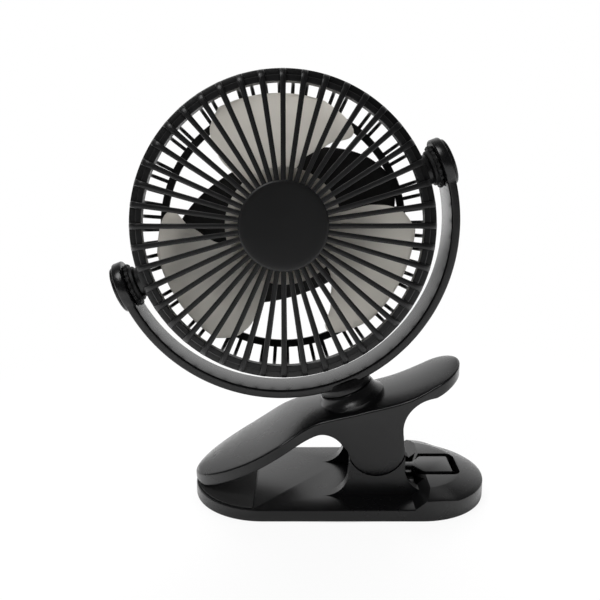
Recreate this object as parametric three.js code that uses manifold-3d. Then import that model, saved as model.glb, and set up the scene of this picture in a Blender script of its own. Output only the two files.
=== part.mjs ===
// Clip fan: a caged fan head in a half-ring yoke, carried by a sprung clamp with an oval base.
// Millimetres. X runs along the clamp from jaw to tail, -Y is the blowing side and Z is up.
// The origin is the middle of the rubber sole's underside. The head is shown turned and tilted.
import * as THREE from 'three';
import { mergeVertices } from 'three/addons/utils/BufferGeometryUtils.js';
import Module from 'manifold-3d';

const wasm = await Module();
wasm.setup();

// Driving sizes of the base
const BASE_LENGTH = 144.6;
const BASE_WIDTH = 69.8;
const BASE_WALL = 2;
const DECK_HEIGHT = 6.5;
const DECK_EDGE = 0.6;
const SKIRT_HEIGHT = 0.4;
const SOLE_THICKNESS = 1;
const BOTTOM_PLATE_THICKNESS = 1.6;
const HUMP_LENGTH = 38.4;
const HUMP_LEAN = 38.8;
const HUMP_RIM_HEIGHT = 8.9;
const HUMP_CORNER_LIFT = 1.9;
const HUMP_CORNER_FROM = 0.85;
const HUMP_TOP_HEIGHT = 13.1;
const HUMP_SHOULDER = 11.9;
const HUMP_SHOULDER_SIDE = 9;
const GRIP_PAD_LENGTH = 30.2;
const GRIP_PAD_THICKNESS = 0.7;
const GRIP_PAD_PROUD = 0.5;
const GRIP_PAD_MARGIN = 1.2;
const UNDERSIDE_OPENING_WIDTH = 30;
const JAW_SCREW_MARGIN_END = 22;
const JAW_SCREW_MARGIN_SIDE = 14;
const TAIL_SCREW_MARGIN_END = 9;
const TAIL_SCREW_MARGIN_SIDE = 23;
const BASE_SCREW_RADIUS = 1.1;
const BASE_SCREW_LENGTH = 2.6;

// Driving sizes of the hinge between base and clamp arm
const HINGE_FROM_END = 55.5;
const HINGE_RISE = 24.3;
const HINGE_PIN_RADIUS = 2;
const CHEEK_THICKNESS = 2.4;
const CHEEK_REACH_LEFT = 13.4;
const CHEEK_REACH_RIGHT = 13.6;
const CHEEK_FLARE = 11.8;
const CHEEK_DROP = 2.3;
const CHEEK_EAR_RADIUS = 8.5;
const CHEEK_OVERLAP = 0.2;
const SPRING_RADIUS = 5;
const SPRING_WIRE = 0.8;
const SPRING_PITCH = 2.2;
const SPRING_TURNS = 5;
const SPRING_LEG_ANGLE = 56;

// Driving sizes of the clamp arm; runs are measured from the jaw's tip, rises from the deck
const ARM_WIDTH = 42;
const ARM_CROWN = 2;
const ARM_SKIN = 2.4;
const ARM_WALL = 2;
const ARM_LIP = 6;
const JAW_OVERHANG = 0.2;
const JAW_WIDTH = 55;
const JAW_ROUNDING = 42;
const JAW_TIP_THICKNESS = 3;
const JAW_BACK_RUN = 27.5;
const JAW_BACK_RISE = 18.9;
const NECK_RUN = 54.5;
const NECK_RISE = 34.6;
const SADDLE_RUN = 82.5;
const SADDLE_RISE = 42.2;
const WAIST_RUN = 105.5;
const WAIST_RISE = 48.9;
const TAIL_REACH = 41.4;
const TAIL_RISE = 62.5;
const TAIL_WIDTH = 35;
const TAIL_ROUNDING = 12;
const LEG_RADIUS = 13.8;
const LEG_THICKNESS = 2.6;
const ARCH_RADIUS = 12.6;
const TAIL_FILLET = 15.5;
const JAW_PAD_LENGTH = 26;
const JAW_PAD_PROUD = 0.4;
const POST_SETBACK = 11.8;
const POST_LEAN = 21;
const SEAT_RISE = 5.5;
const SEAT_FLARE = 4;
const SEAT_THICKNESS = 3.3;

// Driving sizes of the yoke and the pivots
const YOKE_DEPTH = 20;
const YOKE_THICKNESS = 4.1;
const YOKE_CLEARANCE = 7.9;
const YOKE_END_RADIUS = 12.5;
const COLLAR_RADIUS = 13;
const COLLAR_THICKNESS = 3.2;
const POST_RADIUS = 5;
const SWIVEL_SCREW_RADIUS = 1.6;
const SWIVEL_WASHER_RADIUS = 8.5;
const SWIVEL_TURN = 3.7;
const RATCHET_RADIUS = 10.2;
const RATCHET_TOOTH = 0.9;
const RATCHET_TEETH = 20;
const RATCHET_THICKNESS = 3.4;
const PIVOT_BOSS_RADIUS = 7.3;
const PIVOT_SCREW_RADIUS = 3;
const PIVOT_CAP_RADIUS = 10;
const PIVOT_CAP_THICKNESS = 1.7;

// Driving sizes of the fan head
const HEAD_RADIUS = 70;
const HEAD_FRONT = 20;
const HEAD_TILT = 6.2;
const DRUM_WALL = 2.2;
const DRUM_FRONT = 13;
const DRUM_REAR = -3;
const DRUM_LIP = 3.4;
const DRUM_LIP_THICKNESS = 2;
const PIVOT_PAD_RADIUS = 9.3;
const SHOULDER_RADIUS = 5;
const GUARD_DISC_RADIUS = 20.4;
const GUARD_DISC_PROUD = 0.8;
const FRONT_RIBS = 44;
const FRONT_RIB_PHASE = 3.35;
const FRONT_RIB_DEPTH = 3;
const FRONT_RIB_WIDTH = 2.3;
const FRONT_RIB_END_WIDTH = 3;
const HOOP_WIDTH = 2.7;
const HOOP_DEPTH = 5;
const HOOP_SETBACK = 2.5;
const REAR_GRILLE_THICKNESS = 2;
const CAGE_DEPTH = 17;
const CAGE_CORNER = 8;
const CAGE_RIM = 2;
const REAR_RING_RADIUS = 59;
const REAR_RING_WIDTH = 3.7;
const REAR_OUTER_RIBS = 64;
const REAR_INNER_RIBS = 44;
const REAR_RIB_WIDTH = 1.8;
const HOUSING_LENGTH = 113.6;
const HOUSING_WIDTH = 67.6;
const HOUSING_WALL = 1.8;
const HOUSING_FRONT = -12;
const HOUSING_BACK = -33;
const HOUSING_EDGE = 3;
const HOUSING_FLANGE = 3;
const HOUSING_SCREW_MARGIN_END = 19;
const HOUSING_SCREW_MARGIN_SIDE = 15.8;
const HOUSING_SCREW_RADIUS = 1.2;
const BUTTON_X = 32;
const BUTTON_RADIUS = 5.5;
const BUTTON_PROUD = 1.4;
const LIGHT_PIPES = 4;
const LIGHT_PIPE_RADIUS = 0.9;
const LIGHT_PIPE_SPACING = 3;
const LIGHT_PIPE_SETBACK = 12.1;
const SOCKET_WIDTH = 9;
const SOCKET_HEIGHT = 3.4;
const SOCKET_DEPTH = 6.4;
const BOARD_BEFORE_BUTTON = 14.8;
const BOARD_PAST_SCREW = 6.4;
const BOARD_THICKNESS = 1.6;
const KEY_SWITCH_WIDTH = 6;
const BATTERY_X = -32;
const BATTERY_LENGTH = 28;
const BATTERY_WIDTH = 26;
const BATTERY_HEIGHT = 13;

// Driving sizes of the impeller and the motor
const BLADES = 3;
const BLADE_PHASE = 70.2;
const BLADE_TIP_RADIUS = 61.6;
const BLADE_THICKNESS = 1.6;
const BLADE_DEPTH = 15;
const BLADE_FRONT = 43;
const BLADE_REAR_ROOT = 16.5;
const BLADE_REAR_TIP = 39;
const BLADE_FRONT_CORNER = 9;
const BLADE_REAR_CORNER = 14;
const HUB_RADIUS = 26.8;
const HUB_FRONT = 12.5;
const HUB_BACK = -9;
const HUB_WALL = 1.6;
const SHAFT_RADIUS = 1.2;
const SHAFT_BEARING = 4;
const MOTOR_RADIUS = 12.2;
const MOTOR_NOSE_RADIUS = 4.5;
const MOTOR_BACK = -29.5;

// Driving sizes of the hanging hook
const HOOK_END_MARGIN = 16.1;
const HOOK_PIVOT_DROP = 3;
const HOOK_NECK = 5.9;
const HOOK_NECK_WIDTH = 4.8;
const HOOK_LENGTH = 24.5;
const HOOK_WIDTH = 17.7;
const HOOK_SHOULDER = 4.4;
const HOOK_THICKNESS = 2.5;
const HOOK_BARREL_RADIUS = 1.9;
const HOOK_BARREL_WIDTH = 8;
const HOOK_PIN_RADIUS = 0.8;
const HOOK_SLOT = 3.2;
const RECESS_WIDTH = 29.4;
const RECESS_NOSE = 3.4;

// Clearances: between fixed neighbours, and the play round a turning or sliding piece
const GAP = 0.3;
const PLAY = 0.3;

// Below this, faces count as flat and corners as one
const MERGE = 1e-3;

// Steps of round shapes
const ARC_STEPS = 8;
const FINE_STEPS = 44;
const YOKE_STEPS = 26;
const HUB_STEPS = 28;
const ROUND_STEPS = 20;
const SMALL_STEPS = 10;

const radians = THREE.MathUtils.degToRad;
const smooth = (t) => THREE.MathUtils.smoothstep(t, 0, 1);
const material = (color, roughness, metalness = 0) =>
  new THREE.MeshStandardMaterial({ color, roughness, metalness });
const shellBlack = material(0x1d1d1f, 0.45);
const grilleBlack = material(0x232325, 0.42);
const housingBlack = material(0x141415, 0.6);
const bladeGrey = material(0xb2b0ab, 0.35);
const rubberBlack = material(0x151515, 0.85);
const steel = material(0xa8abb0, 0.3, 0.9);
const springSteel = material(0x8d9094, 0.35, 0.9);
const boardGreen = material(0x1f4d33, 0.55);
const wrapBlue = material(0x2d4a7a, 0.5);
const clearPlastic = material(0xe6e8e6, 0.2);

// ---- closed solids, and how they are joined and cut ----

// A closed solid from a geometry: shared corners merged, collapsed faces dropped, faces outward.
const solidOf = (geometry) => {
  const bare = geometry.clone();
  bare.deleteAttribute('normal');
  bare.deleteAttribute('uv');
  const merged = mergeVertices(bare, 1e-4);
  const index = merged.index.array;
  const triangles = [];
  for (let i = 0; i < index.length; i += 3) {
    const [a, b, c] = [index[i], index[i + 1], index[i + 2]];
    if (a !== b && b !== c && a !== c) triangles.push(a, b, c);
  }
  const vertProperties = Float32Array.from(merged.attributes.position.array);
  const build = (list) => new wasm.Manifold(
    new wasm.Mesh({ numProp: 3, vertProperties, triVerts: Uint32Array.from(list) }));
  const solid = build(triangles);
  return solid.volume() > 0 ? solid : build(triangles.reverse());
};
const asSolid = (shape) => (shape.isBufferGeometry ? solidOf(shape) : shape);
const join = (...shapes) => shapes.map(asSolid).reduce((a, b) => a.add(b));
const cut = (body, ...tools) => tools.map(asSolid).reduce((a, b) => a.subtract(b), asSolid(body));
const common = (a, b) => asSolid(a).intersect(asSolid(b));

const geometryOf = (solid) => {
  const mesh = solid.asOriginal().simplify(MERGE).getMesh();
  const geometry = new THREE.BufferGeometry();
  geometry.setAttribute('position', new THREE.BufferAttribute(mesh.vertProperties, 3));
  geometry.setIndex(new THREE.BufferAttribute(mesh.triVerts, 1));
  geometry.computeVertexNormals();
  return geometry;
};

const addPart = (group, name, look, shape) => {
  const mesh = new THREE.Mesh(geometryOf(asSolid(shape)), look);
  mesh.name = name;
  group.add(mesh);
};

// ---- basic shapes ----

const block = (x0, x1, y0, y1, z0, z1) => new THREE.BoxGeometry(x1 - x0, y1 - y0, z1 - z0)
  .translate((x0 + x1) / 2, (y0 + y1) / 2, (z0 + z1) / 2);

// A round bar along Z, at x, y.
const roundBar = (radius, z0, z1, x = 0, y = 0, steps = ROUND_STEPS) =>
  new THREE.CylinderGeometry(radius, radius, z1 - z0, steps)
    .rotateX(Math.PI / 2).translate(x, y, (z0 + z1) / 2);

// A round bar along Y, at x, z.
const barAlongY = (radius, y0, y1, x, z, steps = ROUND_STEPS) =>
  new THREE.CylinderGeometry(radius, radius, y1 - y0, steps).translate(x, (y0 + y1) / 2, z);

// A round bar along X, through y, z = 0.
const barAlongX = (radius, x0, x1, steps = ROUND_STEPS) =>
  new THREE.CylinderGeometry(radius, radius, x1 - x0, steps)
    .rotateZ(Math.PI / 2).translate((x0 + x1) / 2, 0, 0);

// A profile of radius and height pairs, turned round Z.
const turned = (profile, steps = ROUND_STEPS) => {
  const points = [...profile, profile[0]].map(([r, z]) => new THREE.Vector2(r, z));
  return new THREE.LatheGeometry(points, steps).rotateX(Math.PI / 2);
};

// A flat plate between two heights, its rims bevelled by edge.
const plate = (shape, low, high, edge = 0) => new THREE.ExtrudeGeometry(shape, {
  depth: high - low - 2 * edge,
  bevelEnabled: edge > 0,
  bevelThickness: edge,
  bevelSize: edge,
  bevelOffset: -edge,
  bevelSegments: 1,
  curveSegments: ARC_STEPS,
}).translate(0, 0, low + edge);

// A side profile drawn in X and Z, and carried along Y.
const acrossY = (shape, y0, y1) => new THREE.ExtrudeGeometry(shape, {
  depth: y1 - y0,
  bevelEnabled: false,
  curveSegments: ARC_STEPS,
}).rotateX(Math.PI / 2).translate(0, y1, 0);

const polygon = (points) => new THREE.Shape(points.map(([x, y]) => new THREE.Vector2(x, y)));

// An oval with straight sides and half-round ends.
const oval = (length, width) => {
  const run = (length - width) / 2;
  const shape = new THREE.Shape();
  shape.absarc(run, 0, width / 2, -Math.PI / 2, Math.PI / 2, false);
  shape.absarc(-run, 0, width / 2, Math.PI / 2, 1.5 * Math.PI, false);
  shape.closePath();
  return shape;
};

const ellipse = (length, width) => {
  const shape = new THREE.Shape();
  shape.absellipse(0, 0, length / 2, width / 2, 0, 2 * Math.PI, false);
  return shape;
};

// A closed body through a row of rings with equal point counts, capped at both ends.
const loft = (rings) => {
  const count = rings[0].length;
  const index = [];
  for (let i = 0; i + 1 < rings.length; i += 1) {
    for (let k = 0; k < count; k += 1) {
      const next = (k + 1) % count;
      const [a, b] = [i * count + k, i * count + next];
      index.push(a, b, b + count, a, b + count, a + count);
    }
  }
  const cap = (start, flip) => {
    let [low, high] = [0, count - 1];
    const face = (a, b, c) => index.push(start + a, start + (flip ? c : b), start + (flip ? b : c));
    while (high - low >= 2) {
      face(low, low + 1, high);
      low += 1;
      if (high - low >= 2) {
        face(low, high - 1, high);
        high -= 1;
      }
    }
  };
  cap(0, true);
  cap((rings.length - 1) * count, false);
  const geometry = new THREE.BufferGeometry();
  const corners = rings.flat().flatMap((point) => [point.x, point.y, point.z]);
  geometry.setAttribute('position', new THREE.Float32BufferAttribute(corners, 3));
  geometry.setIndex(index);
  return geometry;
};

// ---- places worked out from the driving sizes ----

const baseEnd = BASE_LENGTH / 2;
const hingeX = baseEnd - HINGE_FROM_END;
const hingeZ = DECK_HEIGHT + HINGE_RISE;
const humpStart = baseEnd - HUMP_LENGTH;
const hookPivotX = baseEnd - HOOK_END_MARGIN - HOOK_LENGTH;
const hookPivotZ = HUMP_TOP_HEIGHT - HOOK_PIVOT_DROP;
const jawTipX = -baseEnd - JAW_OVERHANG;
const tailTipX = hingeX + TAIL_REACH;
const armHalf = ARM_WIDTH / 2;
const gripPadTop = DECK_HEIGHT + GRIP_PAD_PROUD;
const jawLipLow = gripPadTop + GAP + JAW_PAD_PROUD + GAP;
const yokeInner = HEAD_RADIUS + YOKE_CLEARANCE;
const yokeOuter = yokeInner + YOKE_THICKNESS;
const bottomPlateLow = SOLE_THICKNESS + GAP;
const bottomPlateTop = bottomPlateLow + BOTTOM_PLATE_THICKNESS;
const slotStart = hookPivotX - GAP;
const slotEnd = hookPivotX + HOOK_LENGTH + HOOK_SLOT + GAP;

// The arm's edge line in side view: a long S from the jaw's tip to the raised tail.
const armEdge = new THREE.SplineCurve([
  new THREE.Vector2(jawTipX, jawLipLow + JAW_TIP_THICKNESS),
  new THREE.Vector2(jawTipX + JAW_BACK_RUN, DECK_HEIGHT + JAW_BACK_RISE),
  new THREE.Vector2(jawTipX + NECK_RUN, DECK_HEIGHT + NECK_RISE),
  new THREE.Vector2(jawTipX + SADDLE_RUN, DECK_HEIGHT + SADDLE_RISE),
  new THREE.Vector2(jawTipX + WAIST_RUN, DECK_HEIGHT + WAIST_RISE),
  new THREE.Vector2(tailTipX, DECK_HEIGHT + TAIL_RISE),
]).getPoints(60);
const armEdgeAt = (x) => {
  const last = armEdge.length - 1;
  const after = Math.min(last, Math.max(1, armEdge.findIndex((point) => point.x >= x)));
  const [a, b] = [armEdge[after - 1], armEdge[after]];
  return a.y + ((b.y - a.y) * (x - a.x)) / (b.x - a.x);
};
const armLipAt = (x) => Math.max(jawLipLow, armEdgeAt(x) - ARM_LIP);

// The post's axis leans towards the jaw; the head's middle lies on it.
const postLean = radians(POST_LEAN);
const postAxis = new THREE.Vector3(-Math.sin(postLean), 0, Math.cos(postLean));
const postX = hingeX - POST_SETBACK;
const postFoot = new THREE.Vector3(postX, 0, armEdgeAt(postX) + ARM_CROWN);
const seatToHead = GAP + COLLAR_THICKNESS + yokeOuter;
const headCentre = postFoot.clone().addScaledVector(postAxis, SEAT_RISE + seatToHead);

// ---- base ----

// The raised end of the base, shrunk all round by inset for its hollow: rim, ridge and flat top.
const humpBody = (inset) => {
  const top = HUMP_TOP_HEIGHT - inset;
  const middle = (BASE_LENGTH - BASE_WIDTH) / 2;
  const side = BASE_WIDTH / 2 - inset;
  const ring = (reachX, reachY, heightAt) => {
    const points = [new THREE.Vector3(0, -reachY, heightAt(1))];
    for (let angle = -90; angle <= 90; angle += 15) {
      const across = Math.sin(radians(angle));
      points.push(new THREE.Vector3(middle + reachX * Math.cos(radians(angle)), reachY * across,
        heightAt(across)));
    }
    points.push(new THREE.Vector3(0, reachY, heightAt(1)));
    return points;
  };
  const rimAt = (across) => HUMP_RIM_HEIGHT - inset
    + HUMP_CORNER_LIFT * smooth((Math.abs(across) - HUMP_CORNER_FROM) / (1 - HUMP_CORNER_FROM));
  const hull = loft([ring(side, side, () => -BASE_WALL), ring(side, side, rimAt),
    ring(side - HUMP_SHOULDER, side - HUMP_SHOULDER_SIDE, () => top)]);
  const low = inset > 0 ? 0 : SKIRT_HEIGHT;
  const start = humpStart + inset;
  const slope = (top + 1 - DECK_HEIGHT) / Math.tan(radians(HUMP_LEAN));
  const profile = polygon([[start, low], [start, DECK_HEIGHT], [start + slope, top + 1],
    [baseEnd + 1, top + 1], [baseEnd + 1, low]]);
  return common(hull, acrossY(profile, -BASE_WIDTH, BASE_WIDTH));
};

// One cheek of the hinge bracket: a foot that flares into the deck, and an ear round the pin.
const cheekFoot = () => {
  const [left, right] = [hingeX - CHEEK_REACH_LEFT, hingeX + CHEEK_REACH_RIGHT];
  const [foot, top] = [DECK_HEIGHT - BASE_WALL / 2, hingeZ - 1];
  const flareZ = DECK_HEIGHT + CHEEK_FLARE;
  const shape = new THREE.Shape();
  shape.moveTo(left - CHEEK_FLARE, foot);
  shape.absarc(left - CHEEK_FLARE, flareZ, CHEEK_FLARE, -Math.PI / 2, 0, false);
  shape.lineTo(left + 1, top);
  shape.lineTo(right, top - CHEEK_DROP);
  shape.absarc(right + CHEEK_FLARE, flareZ + BASE_WALL, CHEEK_FLARE, Math.PI, radians(248), false);
  shape.lineTo(right + CHEEK_FLARE * 0.62, foot);
  return shape;
};

const cheek = (side) => {
  const outer = side * armHalf;
  const split = side * (armHalf - LEG_THICKNESS - GAP);
  const inner = split - side * CHEEK_THICKNESS;
  const between = (shape, a, b) => acrossY(shape, Math.min(a, b), Math.max(a, b));
  const disc = (radius, a, b, steps) =>
    barAlongY(radius, Math.min(a, b), Math.max(a, b), hingeX, hingeZ, steps);
  const ear = disc(CHEEK_EAR_RADIUS, inner, split);
  const notch = disc(LEG_RADIUS + PLAY, split, outer + side, 2 * ROUND_STEPS);
  const skin = cut(between(cheekFoot(), split - side * CHEEK_OVERLAP, outer), notch);
  return join(skin, between(cheekFoot(), inner, split), ear);
};

// The slot round the hanging hook in the raised end: a narrow neck, sloping shoulders, cut corners.
const hookSlot = () => {
  const [neck, half] = [(HOOK_NECK_WIDTH + HOOK_SLOT) / 2 + GAP, HOOK_WIDTH / 2 + HOOK_SLOT];
  const from = hookPivotX + HOOK_NECK;
  const wide = from + HOOK_SHOULDER;
  const corner = 1.1 * HOOK_SLOT;
  const right = [[wide, half], [slotEnd - corner, half], [slotEnd, half - corner]];
  const left = [[slotStart, neck], [from, neck]];
  const upper = [...left, ...right];
  return polygon([...upper, ...upper.map(([x, y]) => [x, -y]).reverse()]);
};

// The finger recess in the slope before the hook, its far wall bent round the hook's neck.
const hookRecess = () => {
  const [half, nose] = [RECESS_WIDTH / 2, HOOK_NECK_WIDTH / 2 + HOOK_SLOT];
  const end = hookPivotX + HOOK_NECK;
  const upper = [[0, half], [end + RECESS_NOSE, half], [end, nose]];
  return polygon([...upper, ...upper.map(([x, y]) => [x, -y]).reverse()]);
};

const baseScrewPlaces = [[JAW_SCREW_MARGIN_END - baseEnd, BASE_WIDTH / 2 - JAW_SCREW_MARGIN_SIDE],
  [baseEnd - TAIL_SCREW_MARGIN_END, BASE_WIDTH / 2 - TAIL_SCREW_MARGIN_SIDE]]
  .flatMap(([x, y]) => [[x, -y], [x, y]]);
const screwHeadRadius = 2.2 * BASE_SCREW_RADIUS;
const screwHeadLow = bottomPlateLow + GAP;
const screwHeadTop = bottomPlateTop - GAP;
const screwTip = screwHeadTop + BASE_SCREW_LENGTH;

// The grip pad's outline or its pocket: the base's oval, shrunk by a margin, as far as the pad reaches.
const gripPadOutline = (margin, low, high) => {
  const end = GRIP_PAD_LENGTH - baseEnd - margin + GRIP_PAD_MARGIN;
  return common(plate(oval(BASE_LENGTH - 2 * margin, BASE_WIDTH - 2 * margin), low, high),
    block(-BASE_LENGTH, end, -BASE_WIDTH, BASE_WIDTH, low - 1, high + 1));
};

const baseShell = () => {
  const slab = plate(oval(BASE_LENGTH, BASE_WIDTH), SKIRT_HEIGHT, DECK_HEIGHT, DECK_EDGE);
  const hollow = plate(oval(BASE_LENGTH - 2 * BASE_WALL, BASE_WIDTH - 2 * BASE_WALL), -1,
    DECK_HEIGHT - BASE_WALL);
  const padPocket = gripPadOutline(GRIP_PAD_MARGIN - GAP, gripPadTop - GRIP_PAD_THICKNESS - GAP,
    DECK_HEIGHT + 1);
  const slot = plate(hookSlot(), DECK_HEIGHT - BASE_WALL, HUMP_TOP_HEIGHT + 1);
  const recess = plate(hookRecess(), DECK_HEIGHT, HUMP_TOP_HEIGHT + 1);
  const half = HOOK_WIDTH / 2 + HOOK_SLOT;
  const below = block(slotStart, slotEnd, -half, half, -1, DECK_HEIGHT - GAP);
  let shell = cut(join(slab, humpBody(0)), hollow, humpBody(BASE_WALL), padPocket, slot, recess, below);
  baseScrewPlaces.forEach(([x, y]) => {
    const roof = x > humpStart ? HUMP_RIM_HEIGHT + BASE_WALL / 4 : DECK_HEIGHT - BASE_WALL / 2;
    shell = join(shell, roundBar(2.6 * BASE_SCREW_RADIUS, bottomPlateTop + GAP, roof, x, y));
    shell = cut(shell, roundBar(BASE_SCREW_RADIUS + GAP, -1, screwTip + GAP, x, y, SMALL_STEPS));
  });
  [-1, 1].forEach((side) => {
    const lugInner = side * (HOOK_BARREL_WIDTH / 2 + GAP);
    const lugOuter = lugInner + side * BASE_WALL;
    shell = join(shell, cheek(side), block(hookPivotX - BASE_WALL, hookPivotX + BASE_WALL,
      Math.min(lugInner, lugOuter), Math.max(lugInner, lugOuter), DECK_HEIGHT - BASE_WALL,
      hookPivotZ + HOOK_BARREL_RADIUS));
  });
  return cut(shell, barAlongY(HINGE_PIN_RADIUS + GAP, -armHalf, armHalf, hingeX, hingeZ),
    barAlongY(HOOK_PIN_RADIUS + GAP, -BASE_WIDTH / 6, BASE_WIDTH / 6, hookPivotX, hookPivotZ, SMALL_STEPS));
};

// A flat oval sheet under the base, open below the hook and at the screws.
const underSheet = (margin, low, high, holeRadius) => {
  const shape = oval(BASE_LENGTH - 2 * margin, BASE_WIDTH - 2 * margin);
  const half = UNDERSIDE_OPENING_WIDTH / 2;
  const opening = block(slotStart - GAP, slotEnd, -half, half, low - 1, high + 1);
  const holes = baseScrewPlaces.map(([x, y]) => roundBar(holeRadius, low - 1, high + 1, x, y, SMALL_STEPS));
  return cut(plate(shape, low, high), opening, ...holes);
};

const baseScrew = ([x, y]) => join(
  roundBar(screwHeadRadius, screwHeadLow, screwHeadTop, x, y, SMALL_STEPS),
  roundBar(BASE_SCREW_RADIUS, screwHeadTop - GAP, screwTip, x, y, SMALL_STEPS));

const bottomPlate = () => {
  const seats = baseScrewPlaces.map(([x, y]) =>
    roundBar(screwHeadRadius + GAP, bottomPlateLow - 1, screwHeadTop + GAP / 2, x, y, SMALL_STEPS));
  const sheet = underSheet(BASE_WALL + GAP, bottomPlateLow, bottomPlateTop, BASE_SCREW_RADIUS + GAP);
  return cut(sheet, ...seats);
};

// The torsion spring: a close coil round the hinge pin, one leg on the deck, one under the tail.
const springPath = () => {
  const points = [];
  const sweep = 2 * (SPRING_LEG_ANGLE - 10) + 360 * SPRING_TURNS;
  const leg = radians(SPRING_LEG_ANGLE);
  const steps = Math.round(sweep / 45);
  const half = (sweep / 720) * SPRING_PITCH;
  const startAngle = Math.PI - (Math.PI / 2 - leg);
  const endAngle = Math.PI + (Math.PI / 2 - leg) + 2 * Math.PI * SPRING_TURNS;
  const at = (angle, y) => new THREE.Vector3(hingeX + SPRING_RADIUS * Math.cos(angle), y,
    hingeZ + SPRING_RADIUS * Math.sin(angle));
  const upper = at(startAngle, -half);
  const lower = at(endAngle, half);
  const upperLeg = new THREE.Vector3(Math.cos(leg), 0, Math.sin(leg));
  const lowerLeg = new THREE.Vector3(Math.cos(leg), 0, -Math.sin(leg));
  const upperEnd = springUpperEnd(upper, upperLeg);
  points.push(upperEnd, upper.clone().lerp(upperEnd, 0.5));
  for (let i = 0; i <= steps; i += 1) {
    points.push(at(startAngle + ((endAngle - startAngle) * i) / steps, -half + (2 * half * i) / steps));
  }
  const drop = (lower.z - DECK_HEIGHT - GAP - SPRING_WIRE) / Math.sin(leg);
  const lowerEnd = lower.clone().addScaledVector(lowerLeg, drop);
  points.push(lower.clone().lerp(lowerEnd, 0.5), lowerEnd);
  return points;
};

// How far the upper leg runs before it meets the underside of the arm's skin.
const springUpperEnd = (from, direction) => {
  const end = from.clone();
  const step = 0.25;
  const ceiling = (x) => armEdgeAt(x) + ARM_CROWN * 0.9 - ARM_SKIN * 1.1 - GAP - 1.4 * SPRING_WIRE;
  while (end.z < ceiling(end.x) && end.x < tailTipX - armHalf) end.addScaledVector(direction, step);
  return end;
};

// A round wire along a row of points.
const wire = (points, radius, sides) => {
  const up = new THREE.Vector3(0, 1, 0);
  return loft(points.map((point, i) => {
    const before = points[Math.max(0, i - 1)];
    const after = points[Math.min(points.length - 1, i + 1)];
    const along = after.clone().sub(before).normalize();
    const across = up.clone().addScaledVector(along, -up.dot(along)).normalize();
    const third = along.clone().cross(across);
    return Array.from({ length: sides }, (_, k) => {
      const angle = (2 * Math.PI * k) / sides;
      return point.clone().addScaledVector(across, radius * Math.cos(angle))
        .addScaledVector(third, radius * Math.sin(angle));
    });
  }));
};

// The least gap between two turns of the spring, measured on its path.
const springGap = (points) => {
  const finePoints = new THREE.CatmullRomCurve3(points).getPoints(points.length * 4);
  let least = Infinity;
  finePoints.forEach((a, i) => finePoints.slice(i + 20).forEach((b) => {
    least = Math.min(least, a.distanceTo(b) - 2 * SPRING_WIRE);
  }));
  return least;
};

const hangingHook = () => {
  const [neck, half] = [HOOK_NECK_WIDTH / 2, HOOK_WIDTH / 2];
  const shoulder = HOOK_NECK + HOOK_SHOULDER;
  const outline = polygon([[0, -neck], [HOOK_NECK, -neck], [shoulder, -half], [HOOK_LENGTH, -half],
    [HOOK_LENGTH, half], [shoulder, half], [HOOK_NECK, neck], [0, neck]]);
  const tab = plate(outline, HUMP_TOP_HEIGHT - HOOK_THICKNESS, HUMP_TOP_HEIGHT)
    .translate(hookPivotX, 0, 0);
  const width = HOOK_BARREL_WIDTH / 2;
  const barrel = barAlongY(HOOK_BARREL_RADIUS, -width, width, hookPivotX, hookPivotZ);
  const bore = barAlongY(HOOK_PIN_RADIUS + PLAY, -width - 1, width + 1, hookPivotX, hookPivotZ,
    SMALL_STEPS);
  return cut(join(tab, barrel), bore);
};

const makeBase = () => {
  const group = new THREE.Group();
  const springPoints = springPath();
  console.log(`torsion spring: least gap between turns ${springGap(springPoints).toFixed(2)} mm`);
  const pinHalf = armHalf - 1 - GAP;
  const hookPinHalf = HOOK_BARREL_WIDTH / 2 + GAP + BASE_WALL;
  addPart(group, 'base_shell', shellBlack, baseShell());
  addPart(group, 'bottom_plate', housingBlack, bottomPlate());
  addPart(group, 'base_sole', rubberBlack,
    underSheet(BASE_WALL + 2 * GAP, 0, SOLE_THICKNESS, screwHeadRadius + GAP));
  baseScrewPlaces.forEach((place, i) => addPart(group, `base_screw_${i + 1}`, steel, baseScrew(place)));
  addPart(group, 'base_grip_pad', rubberBlack,
    gripPadOutline(GRIP_PAD_MARGIN, gripPadTop - GRIP_PAD_THICKNESS, gripPadTop));
  addPart(group, 'hinge_pin', steel, barAlongY(HINGE_PIN_RADIUS, -pinHalf, pinHalf, hingeX, hingeZ));
  addPart(group, 'torsion_spring', springSteel, wire(springPoints, SPRING_WIRE, 5));
  addPart(group, 'hook_pin', steel,
    barAlongY(HOOK_PIN_RADIUS, -hookPinHalf, hookPinHalf, hookPivotX, hookPivotZ, SMALL_STEPS));
  addPart(group, 'hanging_hook', shellBlack, hangingHook());
  return group;
};

// ---- clamp arm ----

// Half the arm's width at x between its rounded ends: wide at the jaw, waisted, slim at the tail.
const armMiddleHalf = (x) => {
  const jawWide = jawTipX + JAW_ROUNDING;
  const legStart = hingeX - LEG_RADIUS - ARCH_RADIUS;
  const legEnd = hingeX + LEG_RADIUS;
  const towardsLeg = smooth((x - jawWide) / (legStart - jawWide));
  const towardsTail = smooth((x - legEnd) / (tailTipX - legEnd));
  if (x < hingeX) return JAW_WIDTH / 2 - ((JAW_WIDTH - ARM_WIDTH) / 2) * towardsLeg;
  return armHalf - ((ARM_WIDTH - TAIL_WIDTH) / 2) * towardsTail;
};

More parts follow.
